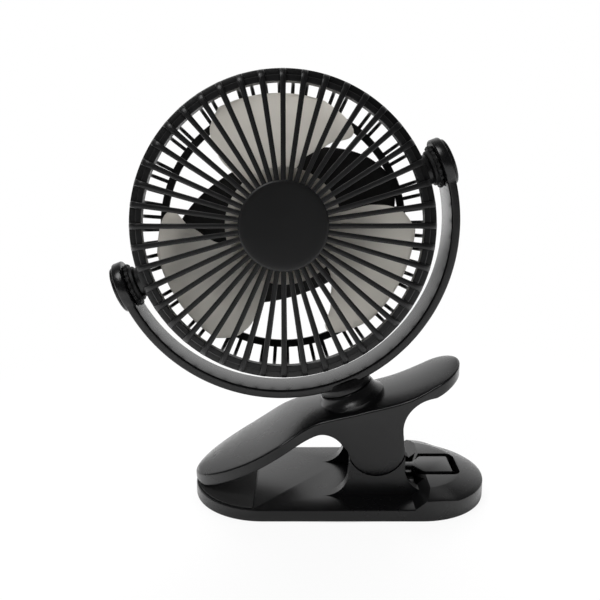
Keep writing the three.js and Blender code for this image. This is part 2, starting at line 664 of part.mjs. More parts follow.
// Stations along the arm: x and half width, rounded in plan at the jaw and at the tail.
const armStations = (inset) => {
  const angles = [10, 28, 48, 70];
  const [jawLong, jawHalf] = [JAW_ROUNDING - inset, JAW_WIDTH / 2 - inset];
  const [tailLong, tailHalf] = [TAIL_ROUNDING - inset, TAIL_WIDTH / 2 - inset];
  const jaw = angles.map(radians).map((angle) =>
    [jawTipX + inset + jawLong * (1 - Math.cos(angle)), jawHalf * Math.sin(angle)]);
  const tail = angles.map(radians).map((angle) =>
    [tailTipX - inset - tailLong * (1 - Math.cos(angle)), tailHalf * Math.sin(angle)]).reverse();
  const [from, to] = [jawTipX + JAW_ROUNDING, tailTipX - TAIL_ROUNDING];
  const spans = 9;
  const middle = Array.from({ length: spans + 1 }, (_, i) => from + ((to - from) * i) / spans)
    .map((x) => [x, armMiddleHalf(x) - inset]);
  return [...jaw, ...middle, ...tail];
};

// The arm's full body, or with an inset the space inside it.
const armBody = (inset, roofDrop, floorDrop) => {
  const across = 4;
  return loft(armStations(inset).map(([x, half]) => {
    const roof = [];
    const floor = [];
    for (let i = 0; i <= across; i += 1) {
      const share = (2 * i) / across - 1;
      const crown = ARM_CROWN * (1 - (share * half / (half + inset)) ** 2);
      roof.push(new THREE.Vector3(x, share * half, armEdgeAt(x) + crown - roofDrop));
      floor.unshift(new THREE.Vector3(x, share * half, armLipAt(x) - floorDrop));
    }
    return [...roof, ...floor];
  }));
};

// The arm's outline seen from above, as a tall prism.
const armPrism = () => {
  const upper = armStations(0);
  return plate(polygon([...upper, ...upper.map(([x, y]) => [x, -y]).reverse()]), 0, BASE_LENGTH);
};

// The leg that hangs from each side of the arm round the hinge pin.
const legShape = () => {
  const archX = hingeX - LEG_RADIUS - 0.5 - ARCH_RADIUS;
  const filletX = hingeX + LEG_RADIUS - 1.5 + TAIL_FILLET;
  const shape = new THREE.Shape();
  shape.absarc(archX, armLipAt(archX) - ARCH_RADIUS, ARCH_RADIUS, Math.PI / 2, radians(24), true);
  shape.absarc(hingeX, hingeZ, LEG_RADIUS, radians(183), radians(350), false);
  shape.absarc(filletX, armLipAt(filletX) - TAIL_FILLET, TAIL_FILLET, Math.PI, radians(95), true);
  const spans = 6;
  for (let i = 0; i <= spans; i += 1) {
    const x = filletX + ((archX - filletX) * i) / spans;
    shape.lineTo(x, armEdgeAt(x) - ARM_WALL);
  }
  return shape;
};

// Lays a shape made along Z on the post's axis, its zero at the top of the arm's seat.
const onPost = (geometry) => {
  const top = postFoot.clone().addScaledVector(postAxis, SEAT_RISE);
  return geometry.rotateY(-postLean).translate(top.x, top.y, top.z);
};

const clipArm = () => {
  const seatRadius = COLLAR_RADIUS + GAP;
  const footRadius = seatRadius + SEAT_FLARE;
  const flare = turned([[0, -2 * SEAT_RISE], [footRadius, -2 * SEAT_RISE], [footRadius, -SEAT_RISE],
    [seatRadius + SEAT_FLARE / 3, -SEAT_RISE / 2], [seatRadius, 0], [0, 0]]);
  const pad = roundBar(SWIVEL_WASHER_RADIUS + 0.5, -SEAT_RISE - SEAT_THICKNESS, -SEAT_RISE / 2);
  let arm = cut(join(armBody(0, 0, 0), onPost(flare)), armBody(ARM_WALL, ARM_SKIN, 5));
  arm = join(arm, onPost(pad));
  [-1, 1].forEach((side) => {
    const [inner, outer] = [side * (armHalf - LEG_THICKNESS), side * armHalf];
    const leg = acrossY(legShape(), Math.min(inner, outer), Math.max(inner, outer));
    arm = join(arm, common(leg, armPrism()));
  });
  const pinSpace = armHalf - 1;
  return cut(arm, barAlongY(HINGE_PIN_RADIUS + PLAY, -pinSpace, pinSpace, hingeX, hingeZ),
    onPost(roundBar(POST_RADIUS + PLAY, -4 * SEAT_RISE, 1)));
};

// The rubber pad under the jaw fills the arm's hollow there and stands a little below its lip.
const jawPad = () => {
  const inset = ARM_WALL + GAP;
  const end = jawTipX + JAW_PAD_LENGTH;
  const body = armBody(inset, ARM_SKIN + GAP, JAW_PAD_PROUD);
  return common(body, block(-BASE_LENGTH, end, -armHalf, armHalf, 0, BASE_LENGTH));
};

const makeArm = () => {
  const group = new THREE.Group();
  addPart(group, 'clip_arm', shellBlack, clipArm());
  addPart(group, 'jaw_pad', rubberBlack, jawPad());
  return group;
};

// ---- yoke: X along the pivots, Z along the post, the origin at the head's middle ----

const collarLow = -yokeOuter - COLLAR_THICKNESS;
const seatPadLow = collarLow - GAP - SEAT_RISE - SEAT_THICKNESS;
const postEnd = seatPadLow - GAP;
const pivotHeadRadius = PIVOT_SCREW_RADIUS + 2.5;
const pivotHeadThickness = YOKE_THICKNESS / 2 - GAP;
const yokeEndFace = Math.sqrt(yokeInner ** 2 - RATCHET_RADIUS ** 2);
const ratchetOuter = yokeEndFace - GAP;
const ratchetInner = ratchetOuter - RATCHET_THICKNESS;
const pivotBossEnd = ratchetInner - GAP;

const yokeBody = () => {
  const band = new THREE.Shape();
  band.absarc(0, 0, yokeOuter, Math.PI, 2 * Math.PI, false);
  band.absarc(0, 0, yokeInner, 2 * Math.PI, Math.PI, true);
  const carried = { depth: YOKE_DEPTH, bevelEnabled: false, curveSegments: YOKE_STEPS };
  const ring = new THREE.ExtrudeGeometry(band, carried)
    .rotateX(Math.PI / 2).translate(0, YOKE_DEPTH / 2, 0);
  let yoke = join(ring, roundBar(COLLAR_RADIUS, collarLow, -yokeInner - YOKE_THICKNESS / 2),
    roundBar(POST_RADIUS, postEnd, collarLow + 1));
  [-1, 1].forEach((side) => {
    const outward = (a, b, radius) =>
      barAlongX(radius, Math.min(side * a, side * b), Math.max(side * a, side * b));
    yoke = join(yoke, outward(yokeEndFace, yokeOuter, YOKE_END_RADIUS));
    yoke = cut(yoke, outward(yokeEndFace - 1, yokeOuter + 1, PIVOT_SCREW_RADIUS + PLAY),
      outward(yokeOuter - YOKE_THICKNESS / 2, yokeOuter + 1, pivotHeadRadius + PLAY));
  });
  return cut(yoke, roundBar(SWIVEL_SCREW_RADIUS + GAP, postEnd - 1, postEnd + 10, 0, 0, SMALL_STEPS));
};

const washerTop = postEnd - GAP;
const washerLow = washerTop - 1;

const swivelWasher = () => cut(roundBar(SWIVEL_WASHER_RADIUS, washerLow, washerTop),
  roundBar(SWIVEL_SCREW_RADIUS + GAP, washerLow - 1, washerTop + 1, 0, 0, SMALL_STEPS));

const swivelScrew = () => join(roundBar(2.2 * SWIVEL_SCREW_RADIUS, washerLow - GAP - 2, washerLow - GAP),
  roundBar(SWIVEL_SCREW_RADIUS, washerLow - 1, postEnd + 9, 0, 0, SMALL_STEPS));

// A shape made along Z from zero up, laid outwards along the pivot on one side.
const onPivot = (geometry, side, distance) =>
  geometry.rotateY(side * Math.PI / 2).translate(side * distance, 0, 0);

const pivotCap = (side) => {
  const [radius, thickness] = [PIVOT_CAP_RADIUS, PIVOT_CAP_THICKNESS];
  const dome = turned([[0, 0], [radius, 0], [radius, thickness * 0.45], [radius * 0.86, thickness * 0.85],
    [0, thickness]]);
  return onPivot(dome, side, yokeOuter + GAP);
};

const makeYoke = () => {
  const group = new THREE.Group();
  addPart(group, 'yoke', shellBlack, yokeBody());
  addPart(group, 'swivel_washer', steel, swivelWasher());
  addPart(group, 'swivel_screw', steel, swivelScrew());
  addPart(group, 'pivot_cap_left', shellBlack, pivotCap(-1));
  addPart(group, 'pivot_cap_right', shellBlack, pivotCap(1));
  return group;
};

// ---- head: X along the pivots, Y up, Z towards the viewer, the origin at the head's middle ----

const lipInner = HEAD_RADIUS - DRUM_LIP;
const hoopOuter = lipInner - GAP;
const grilleLow = DRUM_REAR - CAGE_DEPTH;
const grilleTop = grilleLow + REAR_GRILLE_THICKNESS;
const drumBore = HEAD_RADIUS - DRUM_WALL;
const cageRimTop = DRUM_REAR - GAP;
const cageRimLow = cageRimTop - CAGE_RIM;
const rearRingOuter = REAR_RING_RADIUS + REAR_RING_WIDTH / 2;

const ratchet = (side) => {
  const count = 2 * RATCHET_TEETH;
  const corners = Array.from({ length: count }, (_, i) => {
    const radius = RATCHET_RADIUS - (i % 2) * RATCHET_TOOTH;
    const angle = (2 * Math.PI * i) / count;
    return [radius * Math.cos(angle), radius * Math.sin(angle)];
  });
  const toothed = plate(polygon(corners), 0, RATCHET_THICKNESS / 2);
  const step = roundBar(RATCHET_RADIUS * 0.82, 0, RATCHET_THICKNESS);
  const bore = roundBar(PIVOT_SCREW_RADIUS + GAP, -1, RATCHET_THICKNESS + 1);
  const ring = cut(join(toothed.translate(0, 0, RATCHET_THICKNESS / 2), step), bore);
  return onPivot(geometryOf(ring), side, ratchetInner);
};

const pivotScrew = (side) => {
  const headLow = yokeOuter - YOKE_THICKNESS / 2 + GAP;
  const shank = roundBar(PIVOT_SCREW_RADIUS, drumBore + 2, headLow + 0.5);
  const head = roundBar(pivotHeadRadius, headLow, headLow + pivotHeadThickness);
  return onPivot(geometryOf(join(shank, head)), side, 0);
};

const flatRing = (inner, outer, low, high) =>
  turned([[inner, low], [outer, low], [outer, high], [inner, high]], FINE_STEPS);

// The part of the drum's wall round a pivot, where it reaches further back to carry the boss.
const pivotPad = (side, extra) =>
  onPivot(roundBar(PIVOT_PAD_RADIUS + extra, drumBore - 3, HEAD_RADIUS + 1), side, 0);

const drumShell = () => {
  const underLip = DRUM_FRONT - DRUM_LIP_THICKNESS;
  let drum = asSolid(turned([[lipInner, DRUM_FRONT], [lipInner, underLip], [drumBore, underLip - 0.6],
    [drumBore, DRUM_REAR], [HEAD_RADIUS, DRUM_REAR], [HEAD_RADIUS, DRUM_FRONT]], FINE_STEPS));
  [-1, 1].forEach((side) => {
    const pad = common(flatRing(drumBore, HEAD_RADIUS, -PIVOT_PAD_RADIUS, 0), pivotPad(side, 0));
    const boss = onPivot(roundBar(PIVOT_BOSS_RADIUS, drumBore + 0.5, pivotBossEnd), side, 0);
    const bore = onPivot(roundBar(PIVOT_SCREW_RADIUS + GAP, drumBore + 1.5, pivotBossEnd + 1), side, 0);
    drum = cut(join(drum, pad, boss), bore);
  });
  return drum;
};

// A rib at angle zero through stations of outer radius and height, inner radius and height, half width.
const bentRib = (stations) => loft(stations.map(([r0, z0, r1, z1, half]) => [
  new THREE.Vector3(r0, -half, z0), new THREE.Vector3(r0, half, z0),
  new THREE.Vector3(r1, half, z1), new THREE.Vector3(r1, -half, z1)]));

// One rib of the front grille: out from the disc, over the shoulder, down the side.
const frontRib = () => {
  const bendR = HEAD_RADIUS - SHOULDER_RADIUS;
  const bendZ = HEAD_FRONT - SHOULDER_RADIUS;
  const inner = SHOULDER_RADIUS - FRONT_RIB_DEPTH;
  const [front, end] = [FRONT_RIB_WIDTH / 2, FRONT_RIB_END_WIDTH / 2];
  const half = Math.SQRT1_2;
  return bentRib([
    [GUARD_DISC_RADIUS - 1, HEAD_FRONT, GUARD_DISC_RADIUS - 1, HEAD_FRONT - FRONT_RIB_DEPTH, front],
    [bendR, HEAD_FRONT, bendR, HEAD_FRONT - FRONT_RIB_DEPTH, front],
    [bendR + SHOULDER_RADIUS * half, bendZ + SHOULDER_RADIUS * half, bendR + inner * half,
      bendZ + inner * half, end],
    [HEAD_RADIUS, bendZ, HEAD_RADIUS - FRONT_RIB_DEPTH, bendZ, end],
    [HEAD_RADIUS, DRUM_FRONT + GAP, HEAD_RADIUS - FRONT_RIB_DEPTH, DRUM_FRONT + GAP, end],
  ]);
};

const frontGrille = () => {
  const [discLow, discTop] = [HEAD_FRONT - FRONT_RIB_DEPTH, HEAD_FRONT + GUARD_DISC_PROUD];
  const disc = turned([[0, discLow], [GUARD_DISC_RADIUS, discLow],
    [GUARD_DISC_RADIUS, discTop - GUARD_DISC_PROUD / 2], [GUARD_DISC_RADIUS - GUARD_DISC_PROUD, discTop],
    [0, discTop]], FRONT_RIBS);
  const hoopTop = HEAD_FRONT - HOOP_SETBACK;
  const hoop = flatRing(hoopOuter - HOOP_WIDTH, hoopOuter, hoopTop - HOOP_DEPTH, hoopTop);
  const rib = frontRib();
  const ribs = Array.from({ length: FRONT_RIBS }, (_, i) =>
    rib.clone().rotateZ(radians(FRONT_RIB_PHASE + (360 * i) / FRONT_RIBS)));
  return join(disc, hoop, ...ribs);
};

// One outer rib of the rear grille: out from the ring, round the corner, forward to the rim.
const cageRib = () => {
  const bendR = HEAD_RADIUS - CAGE_CORNER;
  const bendZ = grilleLow + CAGE_CORNER;
  const inner = CAGE_CORNER - REAR_GRILLE_THICKNESS;
  const half = -REAR_RIB_WIDTH / 2;
  const rimMiddle = (cageRimLow + cageRimTop) / 2;
  const corner = [0, 30, 60, 90].map((turn) => {
    const [across, along] = [Math.sin(radians(turn)), Math.cos(radians(turn))];
    return [bendR + CAGE_CORNER * across, bendZ - CAGE_CORNER * along, bendR + inner * across,
      bendZ - inner * along, half];
  });
  return bentRib([[rearRingOuter - 1, grilleLow, rearRingOuter - 1, grilleTop, half], ...corner,
    [HEAD_RADIUS, rimMiddle, HEAD_RADIUS - REAR_GRILLE_THICKNESS, rimMiddle, half]]);
};

const rearGrille = () => {
  const [low, high] = [grilleLow, grilleTop];
  const ringIn = REAR_RING_RADIUS - REAR_RING_WIDTH / 2;
  const half = REAR_RIB_WIDTH / 2;
  const around = (count, rib) => Array.from({ length: count }, (_, i) =>
    rib.clone().rotateZ((2 * Math.PI * (i + 0.5)) / count));
  const spoke = block(HUB_RADIUS, ringIn + 1, -half, half, low, high);
  const frame = plate(ellipse(HOUSING_LENGTH + 2, HOUSING_WIDTH + 2), low, high);
  const hole = plate(ellipse(HOUSING_LENGTH - 2 * HOUSING_FLANGE, HOUSING_WIDTH - 2 * HOUSING_FLANGE),
    low - 1, high + 1);
  const web = join(flatRing(drumBore, HEAD_RADIUS, cageRimLow, cageRimTop),
    flatRing(ringIn, rearRingOuter, low, high), frame, ...around(REAR_OUTER_RIBS, cageRib()),
    ...around(REAR_INNER_RIBS, spoke));
  return cut(web, hole, pivotPad(-1, GAP), pivotPad(1, GAP));
};

const housingScrewX = HOUSING_LENGTH / 2 - HOUSING_SCREW_MARGIN_END;
const housingScrewY = HOUSING_WIDTH / 2 - HOUSING_SCREW_MARGIN_SIDE;
const housingScrewPlaces = [[-1, -1], [-1, 1], [1, -1], [1, 1]]
  .map(([a, b]) => [a * housingScrewX, b * housingScrewY]);
const motorFront = HOUSING_FRONT - HOUSING_WALL - GAP;

// The front half of the pod behind the blades, which holds the motor's nose.
const motorHousing = () => {
  const back = grilleTop + GAP;
  const cup = cut(plate(ellipse(HOUSING_LENGTH, HOUSING_WIDTH), back, HOUSING_FRONT),
    plate(ellipse(HOUSING_LENGTH - 2 * HOUSING_WALL, HOUSING_WIDTH - 2 * HOUSING_WALL), back - 1,
      HOUSING_FRONT - HOUSING_WALL),
    roundBar(MOTOR_NOSE_RADIUS + GAP, back, HOUSING_FRONT + 1));
  const bosses = housingScrewPlaces.map(([x, y]) =>
    roundBar(2.5 * HOUSING_SCREW_RADIUS, back, HOUSING_FRONT - HOUSING_WALL / 2, x, y, SMALL_STEPS));
  const bores = housingScrewPlaces.map(([x, y]) =>
    roundBar(HOUSING_SCREW_RADIUS + GAP, back - 1, HOUSING_FRONT - HOUSING_WALL, x, y, SMALL_STEPS));
  return cut(join(cup, ...bosses), ...bores);
};

const coverFront = grilleLow - GAP;
const coverInside = HOUSING_BACK + HOUSING_WALL;
const screwSeat = HOUSING_BACK + 1.6;
const buttonFlange = 1;
const socketY = -HOUSING_WIDTH / 2 * Math.sqrt(1 - (BUTTON_X / (HOUSING_LENGTH / 2)) ** 2);
const boardTop = coverInside + SOCKET_HEIGHT + 4;
const pipePlaces = Array.from({ length: LIGHT_PIPES }, (_, i) =>
  [BUTTON_X - LIGHT_PIPE_SETBACK, LIGHT_PIPE_SPACING * (i - (LIGHT_PIPES - 1) / 2)]);

// The back cover of the pod: a rounded tray with the button, lights, socket and screws.
const rearCover = () => {
  const edge = HOUSING_EDGE;
  const inside = ellipse(HOUSING_LENGTH - 2 * HOUSING_WALL, HOUSING_WIDTH - 2 * HOUSING_WALL);
  const tray = cut(plate(ellipse(HOUSING_LENGTH, HOUSING_WIDTH), HOUSING_BACK, coverFront + edge, edge),
    plate(inside, coverInside, coverFront + 2 * edge, HOUSING_WALL / 2),
    block(-HOUSING_LENGTH, HOUSING_LENGTH, -HOUSING_WIDTH, HOUSING_WIDTH, coverFront,
      coverFront + 2 * edge));
  const posts = housingScrewPlaces.map(([x, y]) =>
    roundBar(2.5 * HOUSING_SCREW_RADIUS, HOUSING_BACK + HOUSING_WALL / 2, coverFront, x, y, SMALL_STEPS));
  const bores = housingScrewPlaces.flatMap(([x, y]) => [
    roundBar(HOUSING_SCREW_RADIUS + GAP, HOUSING_BACK - 1, coverFront + 1, x, y, SMALL_STEPS),
    roundBar(2 * HOUSING_SCREW_RADIUS + GAP, HOUSING_BACK - 1, screwSeat, x, y, SMALL_STEPS)]);
  const pipes = pipePlaces.map(([x, y]) =>
    roundBar(LIGHT_PIPE_RADIUS + GAP, HOUSING_BACK - 1, coverInside + 1, x, y, SMALL_STEPS));
  const mouth = block(BUTTON_X - SOCKET_WIDTH / 2 - GAP, BUTTON_X + SOCKET_WIDTH / 2 + GAP,
    socketY - SOCKET_DEPTH, socketY + SOCKET_DEPTH + 1.6, boardTop - SOCKET_HEIGHT - 2 * GAP, boardTop);
  return cut(join(tray, ...posts), ...bores, ...pipes, mouth,
    roundBar(BUTTON_RADIUS + PLAY, HOUSING_BACK - 1, coverInside + 1, BUTTON_X, 0));
};

const housingScrew = ([x, y]) => join(
  roundBar(2 * HOUSING_SCREW_RADIUS, HOUSING_BACK + GAP, screwSeat - GAP, x, y, SMALL_STEPS),
  roundBar(HOUSING_SCREW_RADIUS, screwSeat - 2 * GAP, HOUSING_FRONT - HOUSING_WALL - GAP, x, y,
    SMALL_STEPS));

const powerButton = () => join(
  roundBar(BUTTON_RADIUS, HOUSING_BACK - BUTTON_PROUD, coverInside + GAP + 0.2, BUTTON_X, 0),
  roundBar(BUTTON_RADIUS + 1.2, coverInside + GAP, coverInside + GAP + buttonFlange, BUTTON_X, 0));

const lightGuide = () => {
  const [x] = pipePlaces[0];
  const reach = pipePlaces[LIGHT_PIPES - 1][1] + 2;
  const bar = block(x - 1.5, x + 1.5, -reach, reach, coverInside + GAP, coverInside + GAP + 1);
  const pipes = pipePlaces.map(([px, py]) =>
    roundBar(LIGHT_PIPE_RADIUS, HOUSING_BACK + 0.1, coverInside + GAP + 0.5, px, py, SMALL_STEPS));
  return join(bar, ...pipes);
};

// The socket's shell: an open-mouthed box with its contact tongue, facing out of the wall.
const powerSocket = () => {
  const [left, right] = [BUTTON_X - SOCKET_WIDTH / 2, BUTTON_X + SOCKET_WIDTH / 2];
  const [outer, inner] = [socketY + 0.6, socketY + 0.6 + SOCKET_DEPTH];
  const [top, low] = [boardTop - GAP, boardTop - GAP - SOCKET_HEIGHT];
  const wall = 0.4;
  const shell = cut(block(left, right, outer, inner, low, top),
    block(left + wall, right - wall, outer - 1, inner - 1, low + wall, top - wall));
  const middle = (low + top) / 2;
  return join(shell, block(left + 1.4, right - 1.4, outer + 1, inner, middle - 0.35, middle + 0.35));
};

// The board lies on the socket and is notched round the screw posts; its key switch meets the button.
const circuitBoard = () => {
  const [boardLeft, boardRight] = [BUTTON_X - BOARD_BEFORE_BUTTON, housingScrewX + BOARD_PAST_SCREW];
  const board = block(boardLeft, boardRight, socketY + 2, -socketY / 2, boardTop,
    boardTop + BOARD_THICKNESS);
  const reach = 3 * HOUSING_SCREW_RADIUS;
  const notches = [-1, 1].map((side) => {
    const [screwY, edge] = [side * housingScrewY, (side * HOUSING_WIDTH) / 2];
    return join(roundBar(reach, boardTop - 1, boardTop + 3, housingScrewX, screwY, SMALL_STEPS),
      block(housingScrewX - reach, housingScrewX + reach, Math.min(screwY, edge),
        Math.max(screwY, edge), boardTop - 1, boardTop + 3));
  });
  const key = KEY_SWITCH_WIDTH / 2;
  const keyLow = coverInside + 3 * GAP + buttonFlange + PLAY * 2;
  const keySwitch = block(BUTTON_X - key, BUTTON_X + key, -key, key, keyLow,
    boardTop + BOARD_THICKNESS / 2);
  const shrink = 2 * HOUSING_WALL + 1;
  const inside = plate(ellipse(HOUSING_LENGTH - shrink, HOUSING_WIDTH - shrink), boardTop - 1,
    boardTop + 3);
  return join(common(cut(board, ...notches), inside), keySwitch);
};

const makeHead = () => {
  const group = new THREE.Group();
  addPart(group, 'drum_shell', grilleBlack, drumShell());
  addPart(group, 'front_grille', grilleBlack, frontGrille());
  addPart(group, 'rear_grille', grilleBlack, rearGrille());
  addPart(group, 'motor_housing', housingBlack, motorHousing());
  addPart(group, 'rear_cover', shellBlack, rearCover());
  housingScrewPlaces.forEach((place, i) =>
    addPart(group, `housing_screw_${i + 1}`, steel, housingScrew(place)));
  const can = join(roundBar(MOTOR_RADIUS, MOTOR_BACK, motorFront),
    roundBar(MOTOR_NOSE_RADIUS, motorFront - 1, HOUSING_FRONT + 0.5));
  const shaftBore = roundBar(SHAFT_RADIUS + PLAY, MOTOR_BACK + SHAFT_BEARING, HOUSING_FRONT + 1);
  addPart(group, 'motor', steel, cut(can, shaftBore));
  const battery = new THREE.BoxGeometry(BATTERY_LENGTH, BATTERY_WIDTH, BATTERY_HEIGHT)
    .translate(BATTERY_X, 0, coverInside + GAP + BATTERY_HEIGHT / 2);
  addPart(group, 'battery_pack', wrapBlue, battery);
  addPart(group, 'circuit_board', boardGreen, circuitBoard());
  addPart(group, 'power_socket', steel, powerSocket());
  addPart(group, 'light_guide', clearPlastic, lightGuide());
  addPart(group, 'power_button', shellBlack, powerButton());
  [['left', -1], ['right', 1]].forEach(([word, side]) => {
    addPart(group, `ratchet_${word}`, housingBlack, ratchet(side));
    addPart(group, `pivot_screw_${word}`, steel, pivotScrew(side));
  });
  return group;
};

// ---- impeller ----

// Angles of a blade's two edges from its middle line, at a radius.
const bladeEdges = (radius) => {
  const tip = BLADE_TIP_RADIUS;
  const round = (corner) => {
    const into = Math.min(corner, Math.max(0, radius - (tip - corner)));
    return THREE.MathUtils.radToDeg((corner - Math.sqrt(corner ** 2 - into ** 2)) / radius);
  };
  const spread = smooth((radius - HUB_RADIUS) / (tip - 10 - HUB_RADIUS));
  const far = BLADE_REAR_ROOT + (BLADE_REAR_TIP - BLADE_REAR_ROOT) * spread;
  return [round(BLADE_REAR_CORNER) - far, BLADE_FRONT - round(BLADE_FRONT_CORNER)];
};

const blade = () => {
  const [along, across] = [6, 6];
  const rings = [];
  for (let i = 0; i <= along; i += 1) {
    const t = i / along;
    const radius = HUB_RADIUS - 1 + (BLADE_TIP_RADIUS - HUB_RADIUS + 1) * (1 - (1 - t) ** 1.4);
    const [from, to] = bladeEdges(radius);
    const surface = (side) => Array.from({ length: across + 1 }, (_, k) => {
      const angle = from + ((to - from) * k) / across;
      const share = (angle + BLADE_REAR_TIP) / (BLADE_FRONT + BLADE_REAR_TIP);
      const rise = BLADE_DEPTH * (share - 0.5) + side * BLADE_THICKNESS / 2;
      const turn = radians(angle);
      return new THREE.Vector3(radius * Math.cos(turn), radius * Math.sin(turn), rise);
    });
    rings.push([...surface(1), ...surface(-1).reverse()]);
  }
  return loft(rings);
};

const impeller = () => {
  const boss = 4;
  const [inner, roof] = [HUB_RADIUS - HUB_WALL, HUB_FRONT - HUB_WALL];
  const hub = turned([[0, HUB_FRONT], [HUB_RADIUS - 1.5, HUB_FRONT], [HUB_RADIUS, HUB_FRONT - 1.5],
    [HUB_RADIUS, HUB_BACK], [inner, HUB_BACK], [inner, roof], [boss, roof], [boss, HUB_BACK + 1],
    [0, HUB_BACK + 1]], HUB_STEPS);
  const blades = Array.from({ length: BLADES }, (_, i) =>
    blade().rotateZ(radians(BLADE_PHASE + (360 * i) / BLADES)));
  const space = roundBar(inner - 0.2, HUB_BACK - 1, roof);
  const core = roundBar(boss, HUB_BACK - 2, HUB_FRONT);
  const trimmed = blades.map((one) => cut(one, cut(space, core)));
  return cut(join(hub, ...trimmed), roundBar(SHAFT_RADIUS + GAP, HUB_BACK, HUB_FRONT - 2 * HUB_WALL));
};

const makeImpeller = () => {
  const group = new THREE.Group();
  addPart(group, 'impeller', bladeGrey, impeller());
  addPart(group, 'motor_shaft', steel,
    roundBar(SHAFT_RADIUS, MOTOR_BACK + SHAFT_BEARING + GAP, HUB_FRONT - 2 * HUB_WALL - GAP, 0, 0,
      SMALL_STEPS));
  return group;
};

// ---- the whole fan ----

const fan = new THREE.Group();
fan.add(makeBase(), makeArm());

// The yoke leans with its post and is turned about it; the head is tilted back in the yoke.
const leaning = new THREE.Group();
leaning.position.copy(headCentre);
leaning.rotation.y = -postLean;
const swivelled = makeYoke();
swivelled.rotation.z = radians(SWIVEL_TURN);
const tilted = new THREE.Group();
tilted.rotation.x = -radians(HEAD_TILT);
const head = new THREE.Group();
head.rotation.x = Math.PI / 2;
head.add(makeHead(), makeImpeller());
tilted.add(head);
swivelled.add(tilted);
leaning.add(swivelled);
fan.add(leaning);

export default fan;
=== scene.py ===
import bmesh
import bpy
import numpy as np
from mathutils import Matrix, Vector


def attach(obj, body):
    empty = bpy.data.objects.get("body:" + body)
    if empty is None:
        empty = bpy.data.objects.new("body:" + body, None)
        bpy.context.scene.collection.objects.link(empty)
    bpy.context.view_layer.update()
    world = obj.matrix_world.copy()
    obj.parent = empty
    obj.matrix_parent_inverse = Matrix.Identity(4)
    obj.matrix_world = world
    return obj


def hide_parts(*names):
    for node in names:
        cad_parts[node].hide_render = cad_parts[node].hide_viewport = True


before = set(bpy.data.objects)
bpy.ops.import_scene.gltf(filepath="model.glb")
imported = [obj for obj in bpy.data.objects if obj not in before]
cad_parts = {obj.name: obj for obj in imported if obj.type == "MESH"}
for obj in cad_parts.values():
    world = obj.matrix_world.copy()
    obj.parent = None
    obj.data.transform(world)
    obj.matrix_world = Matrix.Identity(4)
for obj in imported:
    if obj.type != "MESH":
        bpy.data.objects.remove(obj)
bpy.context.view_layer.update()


# ---- camera, floor and light ----
# A white studio sweep. The camera stands low and near, thirteen degrees above the fan, and looks at
# the middle of its height.

camera_data = bpy.data.cameras.new("studio_camera")
camera_data.sensor_width = 36.0
camera_data.lens = 43.5
camera = bpy.data.objects.new("studio_camera", camera_data)
bpy.context.scene.collection.objects.link(camera)
aim = Vector((-0.01985, 0.0, 0.0986))
elevation = np.radians(13.0)
distance = 0.35
camera.location = aim + distance * Vector((0.0, -np.cos(elevation), np.sin(elevation)))
camera.rotation_euler = (np.pi / 2 - elevation, 0.0, 0.0)
bpy.context.scene.camera = camera
bpy.context.scene.view_settings.view_transform = "Standard"


def new_material(name):
    """An empty node tree with a Principled shader wired to its output."""
    material = bpy.data.materials.new(name)
    material.use_nodes = True
    nodes, links = material.node_tree.nodes, material.node_tree.links
    nodes.clear()
    output = nodes.new("ShaderNodeOutputMaterial")
    shader = nodes.new("ShaderNodeBsdfPrincipled")
    links.new(shader.outputs[0], output.inputs[0])
    return material, nodes, links, shader


def add_node(nodes, kind, operation=None, **inputs):
    """A shader node of a kind; each further keyword sets the input of that name, "_" for a space."""
    node = nodes.new("ShaderNode" + kind)
    if operation:
        node.operation = operation
    for name, value in inputs.items():
        node.inputs[name.replace("_", " ")].default_value = value
    return node


def wire(links, *pairs):
    """Joins each pair of an output socket and an input socket."""
    for source, target in pairs:
        links.new(source, target)


def white_floor():
    """A matt white floor that glows white to the camera, less so near the fan and not at all under it."""
    material, nodes, links, shader = new_material("white_floor")
    shader.inputs["Base Color"].default_value = (0.86, 0.86, 0.86, 1.0)
    shader.inputs["Roughness"].default_value = 0.9
    base_reach = (0.0722, 0.0348)
    glow = add_node(nodes, "Emission")
    path = add_node(nodes, "LightPath")
    place = add_node(nodes, "TexCoord")
    away = add_node(nodes, "VectorMath", "LENGTH")
    share = add_node(nodes, "MapRange", From_Min=0.10, From_Max=0.32, To_Min=0.9, To_Max=1.0)
    share.interpolation_type = "SMOOTHSTEP"
    footprint = add_node(nodes, "VectorMath", "MULTIPLY")
    footprint.inputs[1].default_value = (1 / base_reach[0], 1 / base_reach[1], 0.0)
    under = add_node(nodes, "VectorMath", "LENGTH")
    beside = add_node(nodes, "MapRange", From_Min=0.9, From_Max=1.0)
    clear = add_node(nodes, "Math", "MULTIPLY")
    seen = add_node(nodes, "Math", "MULTIPLY")
    mix = add_node(nodes, "MixShader")
    wire(links, (place.outputs["Object"], away.inputs[0]), (away.outputs["Value"], share.inputs["Value"]),
         (place.outputs["Object"], footprint.inputs[0]), (footprint.outputs[0], under.inputs[0]),
         (under.outputs["Value"], beside.inputs["Value"]), (share.outputs["Result"], clear.inputs[0]),
         (beside.outputs["Result"], clear.inputs[1]), (path.outputs["Is Camera Ray"], seen.inputs[0]),
         (clear.outputs[0], seen.inputs[1]), (seen.outputs[0], mix.inputs[0]),
         (shader.outputs[0], mix.inputs[1]), (glow.outputs[0], mix.inputs[2]),
         (mix.outputs[0], nodes["Material Output"].inputs[0]))
    return material


